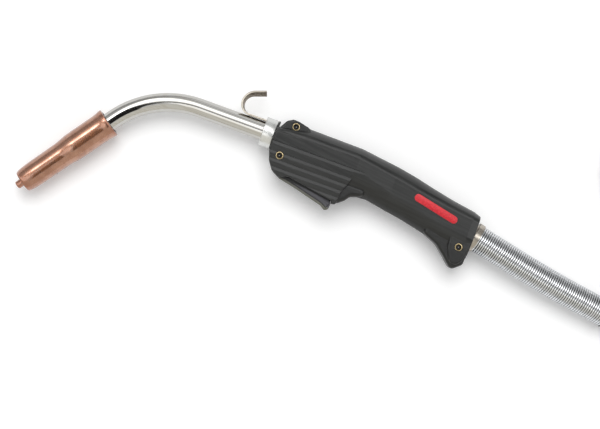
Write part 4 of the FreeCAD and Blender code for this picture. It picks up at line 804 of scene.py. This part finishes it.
bpy.ops.mesh.primitive_plane_add(size=1, location=spots[0][0])
strip = bpy.context.object
strip.rotation_euler = (math.radians(90), 0, math.radians(-90))
strip.scale = (HOOK_THICK, HOOK_WIDTH, 1)
start_editing(strip)
for (before, from_heading, from_lean), (after, to_heading, to_lean) in zip(spots, spots[1:]):
    bpy.ops.mesh.extrude_region_move(TRANSFORM_OT_translate={"value": after - before})
    for axis, turn in (("Z", from_heading), ("X", to_lean - from_lean), ("Z", -to_heading)):
        bpy.ops.transform.rotate(value=turn, orient_axis=axis, center_override=after)
bpy.ops.mesh.select_all(action="SELECT")
bpy.ops.mesh.normals_make_consistent(inside=False)
bpy.ops.object.mode_set(mode="OBJECT")
bpy.ops.object.transform_apply(location=True, rotation=True, scale=True)
round_edges(strip, HOOK_ROUNDING, 3)
start_editing(strip)
finish_editing(strip, "hook_strip", hook_nickel, "gun_tube", "nickel_steel", "hanger_hook")

# %% [markdown]
# ## Eased edges
#
# Stamped, cast and moulded pieces never have knife edges: tumbling and tooling leave a small
# round that catches a line of light. These pieces already have the right shape as solids, so
# a copy is merged into one skin and a Bevel modifier rounds only its sharp edges.

# %% Round the edges of a copy
SKIN_SPOT = 0.002 * MM              # vertices of a solid's faces closer than this are one
FLAT = math.radians(0.5)            # faces that turn by less than this are merged


def eased_copy(solid_name, name, width, segments, material, body, slot):
    """A copy of a solid with rounded edges, shown in the solid's place."""
    solid = nodes[solid_name]
    piece = solid.copy()
    piece.data = solid.data.copy()
    bpy.context.scene.collection.objects.link(piece)
    piece.parent = None
    piece.matrix_world = solid.matrix_world
    start_editing(piece)
    bpy.ops.mesh.customdata_custom_splitnormals_clear()
    bpy.ops.mesh.remove_doubles(threshold=SKIN_SPOT)
    bpy.ops.mesh.dissolve_limited(angle_limit=FLAT)
    bpy.ops.object.mode_set(mode="OBJECT")
    round_edges(piece, width, segments)
    start_editing(piece)
    finish_editing(piece, name, material, body, slot, solid_name)
    return piece


# %% Collar, trigger, badge and nuts
eased_copy("front_collar", "turned_collar", 0.15 * MM, 2, collar_aluminium, "gun_tube", "collar_aluminium")
eased_copy("trigger_lever", "trigger_blade", 0.15 * MM, 2, trigger_plastic, "trigger", "trigger_plastic")
eased_copy("badge_plate", "badge_pill", 0.2 * MM, 2, badge_red, "handle", "badge_red")
eased_copy("handle_barrel_nuts", "barrel_nuts", 0.25 * MM, 3, brass, "handle", "brass")

# %% Connector
boot = eased_copy("connector_boot", "rubber_boot", 0.4 * MM, 2, seal_rubber, "handle", "seal_rubber")
housing = eased_copy("connector_housing", "plug_housing", 0.4 * MM, 2, connector_plastic, "handle",
                     "connector_plastic")
coupling = eased_copy("connector_nut", "coupling_nut", 0.3 * MM, 2, connector_plastic, "connector_nut",
                      "connector_plastic")
plug = eased_copy("connector_plug", "brass_plug", 0.15 * MM, 2, brass, "handle", "brass")

# %% Screw ends
SOCKET_FLOORS = [29.4, 35.28, 31.9]     # their heights above the table
PIN_R = 0.55
for number, ((x, y), floor) in enumerate(zip(SOCKETS, SOCKET_FLOORS), 1):
    pin = turned_piece([(-0.4, PIN_R), (0.1, PIN_R), (0.3, PIN_R * 0.7), (0.35, 0.05)],
                       Vector((x, y, floor)) * MM, Vector((0, 0, 1)))
    finish_editing(pin, f"screw_end_{number}", steel, "handle", "steel")

# %% [markdown]
# ## The cable
#
# A heavy rubber cable leaves the spring and is put away in a neat coil in two layers, with its
# connector beside it. A cable is one smooth line with weight, so it is drawn as one NURBS
# curve through listed control points, given a round section by the curve's bevel. The turns
# of the coil are more points of the same curve, set by a loop.

# %% Cable route
CABLE_D = 20 * MM
CLEARANCE = 0.6 * MM                # between two turns, and below the coil for its straps
LOW = CABLE_D / 2 + CLEARANCE       # height of the lower turns' centre line
free_points = [(195.0, -26.81, 20.0), (228.0, -33.7, 19.8), (262.0, -41.0, 18.9), (303.0, -48.4, 17.3),
               (340.0, -53.4, 15.3), (365.0, -58.4, 13.6), (387.3, -67.0, 11.6),
               (406.5, -78.2, 10.6)]
coil_centre = Vector((510.7, -9.8, 0)) * MM
COIL_R = 118 * MM
COIL_FROM, COIL_TO = 232, 90        # where the coil begins and ends, degrees
COIL_TURNS = 5 - (COIL_FROM - COIL_TO) / 360
CLIMB_TURNS = 0.5                   # from the lower layer to the upper one
LAYER_TURNS = (COIL_TURNS - CLIMB_TURNS) / 2
STEP = CABLE_D + CLEARANCE          # from turn to turn and from layer to layer
POINTS_PER_TURN = 16
tail_points = [(470.7, 108.2, 31.2), (449.5, 105.8, 28.7), (427.5, 102.8, 25.2), (405.5, 100.0, 21.6),
               (385.61, 97.91, 21.6)]


def coil_point(turns):
    """In on the table, up a layer in half a turn, and out again on top."""
    out_again = turns - LAYER_TURNS - CLIMB_TURNS
    inner = COIL_R - STEP * LAYER_TURNS
    if turns < LAYER_TURNS:
        radius, z = COIL_R - STEP * turns, LOW
    elif out_again < 0:
        radius = inner - STEP * min(CLIMB_TURNS + out_again, -out_again)
        z = LOW + STEP * (1 - math.cos(math.pi * (1 + out_again / CLIMB_TURNS))) / 2
    else:
        radius, z = inner + STEP * out_again, LOW + STEP
    a = math.radians(COIL_FROM) + 2 * math.pi * turns
    return coil_centre + Vector((radius * math.cos(a), radius * math.sin(a), z))


route = [Vector(p) * MM for p in free_points]
coil_count = round(COIL_TURNS * POINTS_PER_TURN)
route += [coil_point(COIL_TURNS * i / coil_count) for i in range(coil_count + 1)]
route += [Vector(p) * MM for p in tail_points]
print("cable points:", len(route))

# %% Cable
LINE_STEPS = 8                      # from one control point to the next
CABLE_SIDES = 24


def smooth_curve(name, points, radius, sides):
    """One open NURBS line through its control points, with a round section."""
    data = bpy.data.curves.new(name, "CURVE")
    data.dimensions = "3D"
    spline = data.splines.new("NURBS")
    spline.points.add(len(points) - 1)
    for spot, point in zip(spline.points, points):
        spot.co = (*point, 1)
        spot.radius = radius
    spline.order_u = 3
    spline.use_endpoint_u = True
    spline.resolution_u = LINE_STEPS
    data.bevel_depth = 1.0          # times each point's own radius
    data.bevel_resolution = sides // 2 - 2
    data.use_fill_caps = True
    made = bpy.data.objects.new(name, data)
    bpy.context.scene.collection.objects.link(made)
    return made


def line_points(curve):
    """The points of a curve's own smooth line, with no section on it."""
    bevel, curve.data.bevel_depth = curve.data.bevel_depth, 0
    bpy.context.view_layer.update()
    line = bpy.data.meshes.new_from_object(curve.evaluated_get(bpy.context.evaluated_depsgraph_get()))
    points = [v.co.copy() for v in line.vertices]
    bpy.data.meshes.remove(line)
    curve.data.bevel_depth = bevel
    return points


def length_of(points):
    return sum((b - a).length for a, b in zip(points, points[1:]))


cable = smooth_curve("power_cable_dressed", route, CABLE_D / 2, CABLE_SIDES)
cable_line = line_points(cable)
print("cable length:", round(length_of(cable_line), 3), "m")
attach(cable, "handle")
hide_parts("power_cable", "cable_coil", "cable_tail")
cable.data.materials.append(cable_rubber)

# %% [markdown]
# ## The strain relief spring
#
# A close-wound spring of bright wire keeps the cable from kinking behind the handle. Its turns
# follow the cable's own line, so its helix is worked out along points read from that line, and
# a round section on the helix makes the wire.

# %% Spring
SPRING_R = 14.25 * MM
WIRE_D = 1.95 * MM
SPRING_PITCH = 2.3 * MM
SPRING_TURNS = 66
SPRING_START = 3.6 * MM             # along the cable from where it leaves the handle
POINTS_ROUND = 24                   # in each turn
WIRE_SIDES = 8


def spot_along(points, distance):
    """The place and direction this far along a line of points."""
    for a, b in zip(points, points[1:]):
        step = (b - a).length
        if distance <= step:
            return a.lerp(b, distance / step), (b - a).normalized()
        distance -= step
    return points[-1], (points[-1] - points[-2]).normalized()


helix = []
for i in range(SPRING_TURNS * POINTS_ROUND + 1):
    turns = i / POINTS_ROUND
    centre, ahead = spot_along(cable_line, SPRING_START + SPRING_PITCH * turns)
    side = ahead.cross(Vector((0, 0, 1))).normalized()
    out = side * math.cos(2 * math.pi * turns) + side.cross(ahead) * math.sin(2 * math.pi * turns)
    helix.append(centre + out * (SPRING_R - WIRE_D / 2))
spring = smooth_curve("spring_wire", helix, WIRE_D / 2, WIRE_SIDES)
spring.data.splines[0].resolution_u = 1         # the helix has points enough
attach(spring, "handle")
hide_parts("strain_relief_spring")
spring.data.materials.append(spring_steel)
print("spring wire:", round(length_of(helix), 2), "m")

# %% [markdown]
# ## Straps round the coil
#
# A coil of heavy cable springs open unless something ties it. Two hook-and-loop straps do that
# here. Each goes straight up, over and down round the turns, so it is a flat loop: a rectangle
# whose corners are rounded, whose face is deleted and whose rim is extruded to the strap's width.

# %% Straps
STRAP_WIDTH, STRAP_THICK = 20.0 * MM, 0.5 * MM
STRAP_LOW, STRAP_HIGH = 0.4 * MM, 42.1 * MM
STRAP_CORNER, CORNER_STEPS = 9.5 * MM, 8
STRAP_PLACES = [(190, 68.6, 113.7), (300, 62.6, 124.6)]     # degrees, and mm from the coil's centre
straps = []
for degrees, inside, outside in STRAP_PLACES:
    outwards = in_the_plane(math.radians(degrees))
    sideways = outwards.cross(Vector((0, 0, 1)))
    middle = coil_centre + outwards * (inside + outside) / 2 * MM - sideways * STRAP_WIDTH / 2
    middle.z = (STRAP_LOW + STRAP_HIGH) / 2
    bpy.ops.mesh.primitive_plane_add(size=1, location=middle)
    strap = bpy.context.object
    strap.rotation_euler = (math.radians(90), 0, math.radians(degrees))
    strap.scale = ((outside - inside) * MM, STRAP_HIGH - STRAP_LOW, 1)
    bpy.ops.object.transform_apply(location=True, rotation=True, scale=True)
    start_editing(strap)
    bpy.ops.mesh.bevel(offset=STRAP_CORNER, segments=CORNER_STEPS, affect="VERTICES")
    bpy.ops.mesh.select_all(action="SELECT")
    bpy.ops.mesh.delete(type="ONLY_FACE")
    bpy.ops.mesh.select_all(action="SELECT")
    bpy.ops.mesh.extrude_edges_move(TRANSFORM_OT_translate={"value": sideways * STRAP_WIDTH})
    bpy.ops.mesh.select_all(action="SELECT")
    bpy.ops.mesh.normals_make_consistent(inside=False)
    bpy.ops.object.mode_set(mode="OBJECT")
    webbing = strap.modifiers.new("webbing", "SOLIDIFY")
    webbing.thickness, webbing.offset = STRAP_THICK, 0
    bpy.ops.object.modifier_apply(modifier="webbing")
    start_editing(strap)
    finish_editing(strap, f"coil_strap_{len(straps) + 1}", strap_weave, "handle", "cable_rubber")
    straps.append(strap)
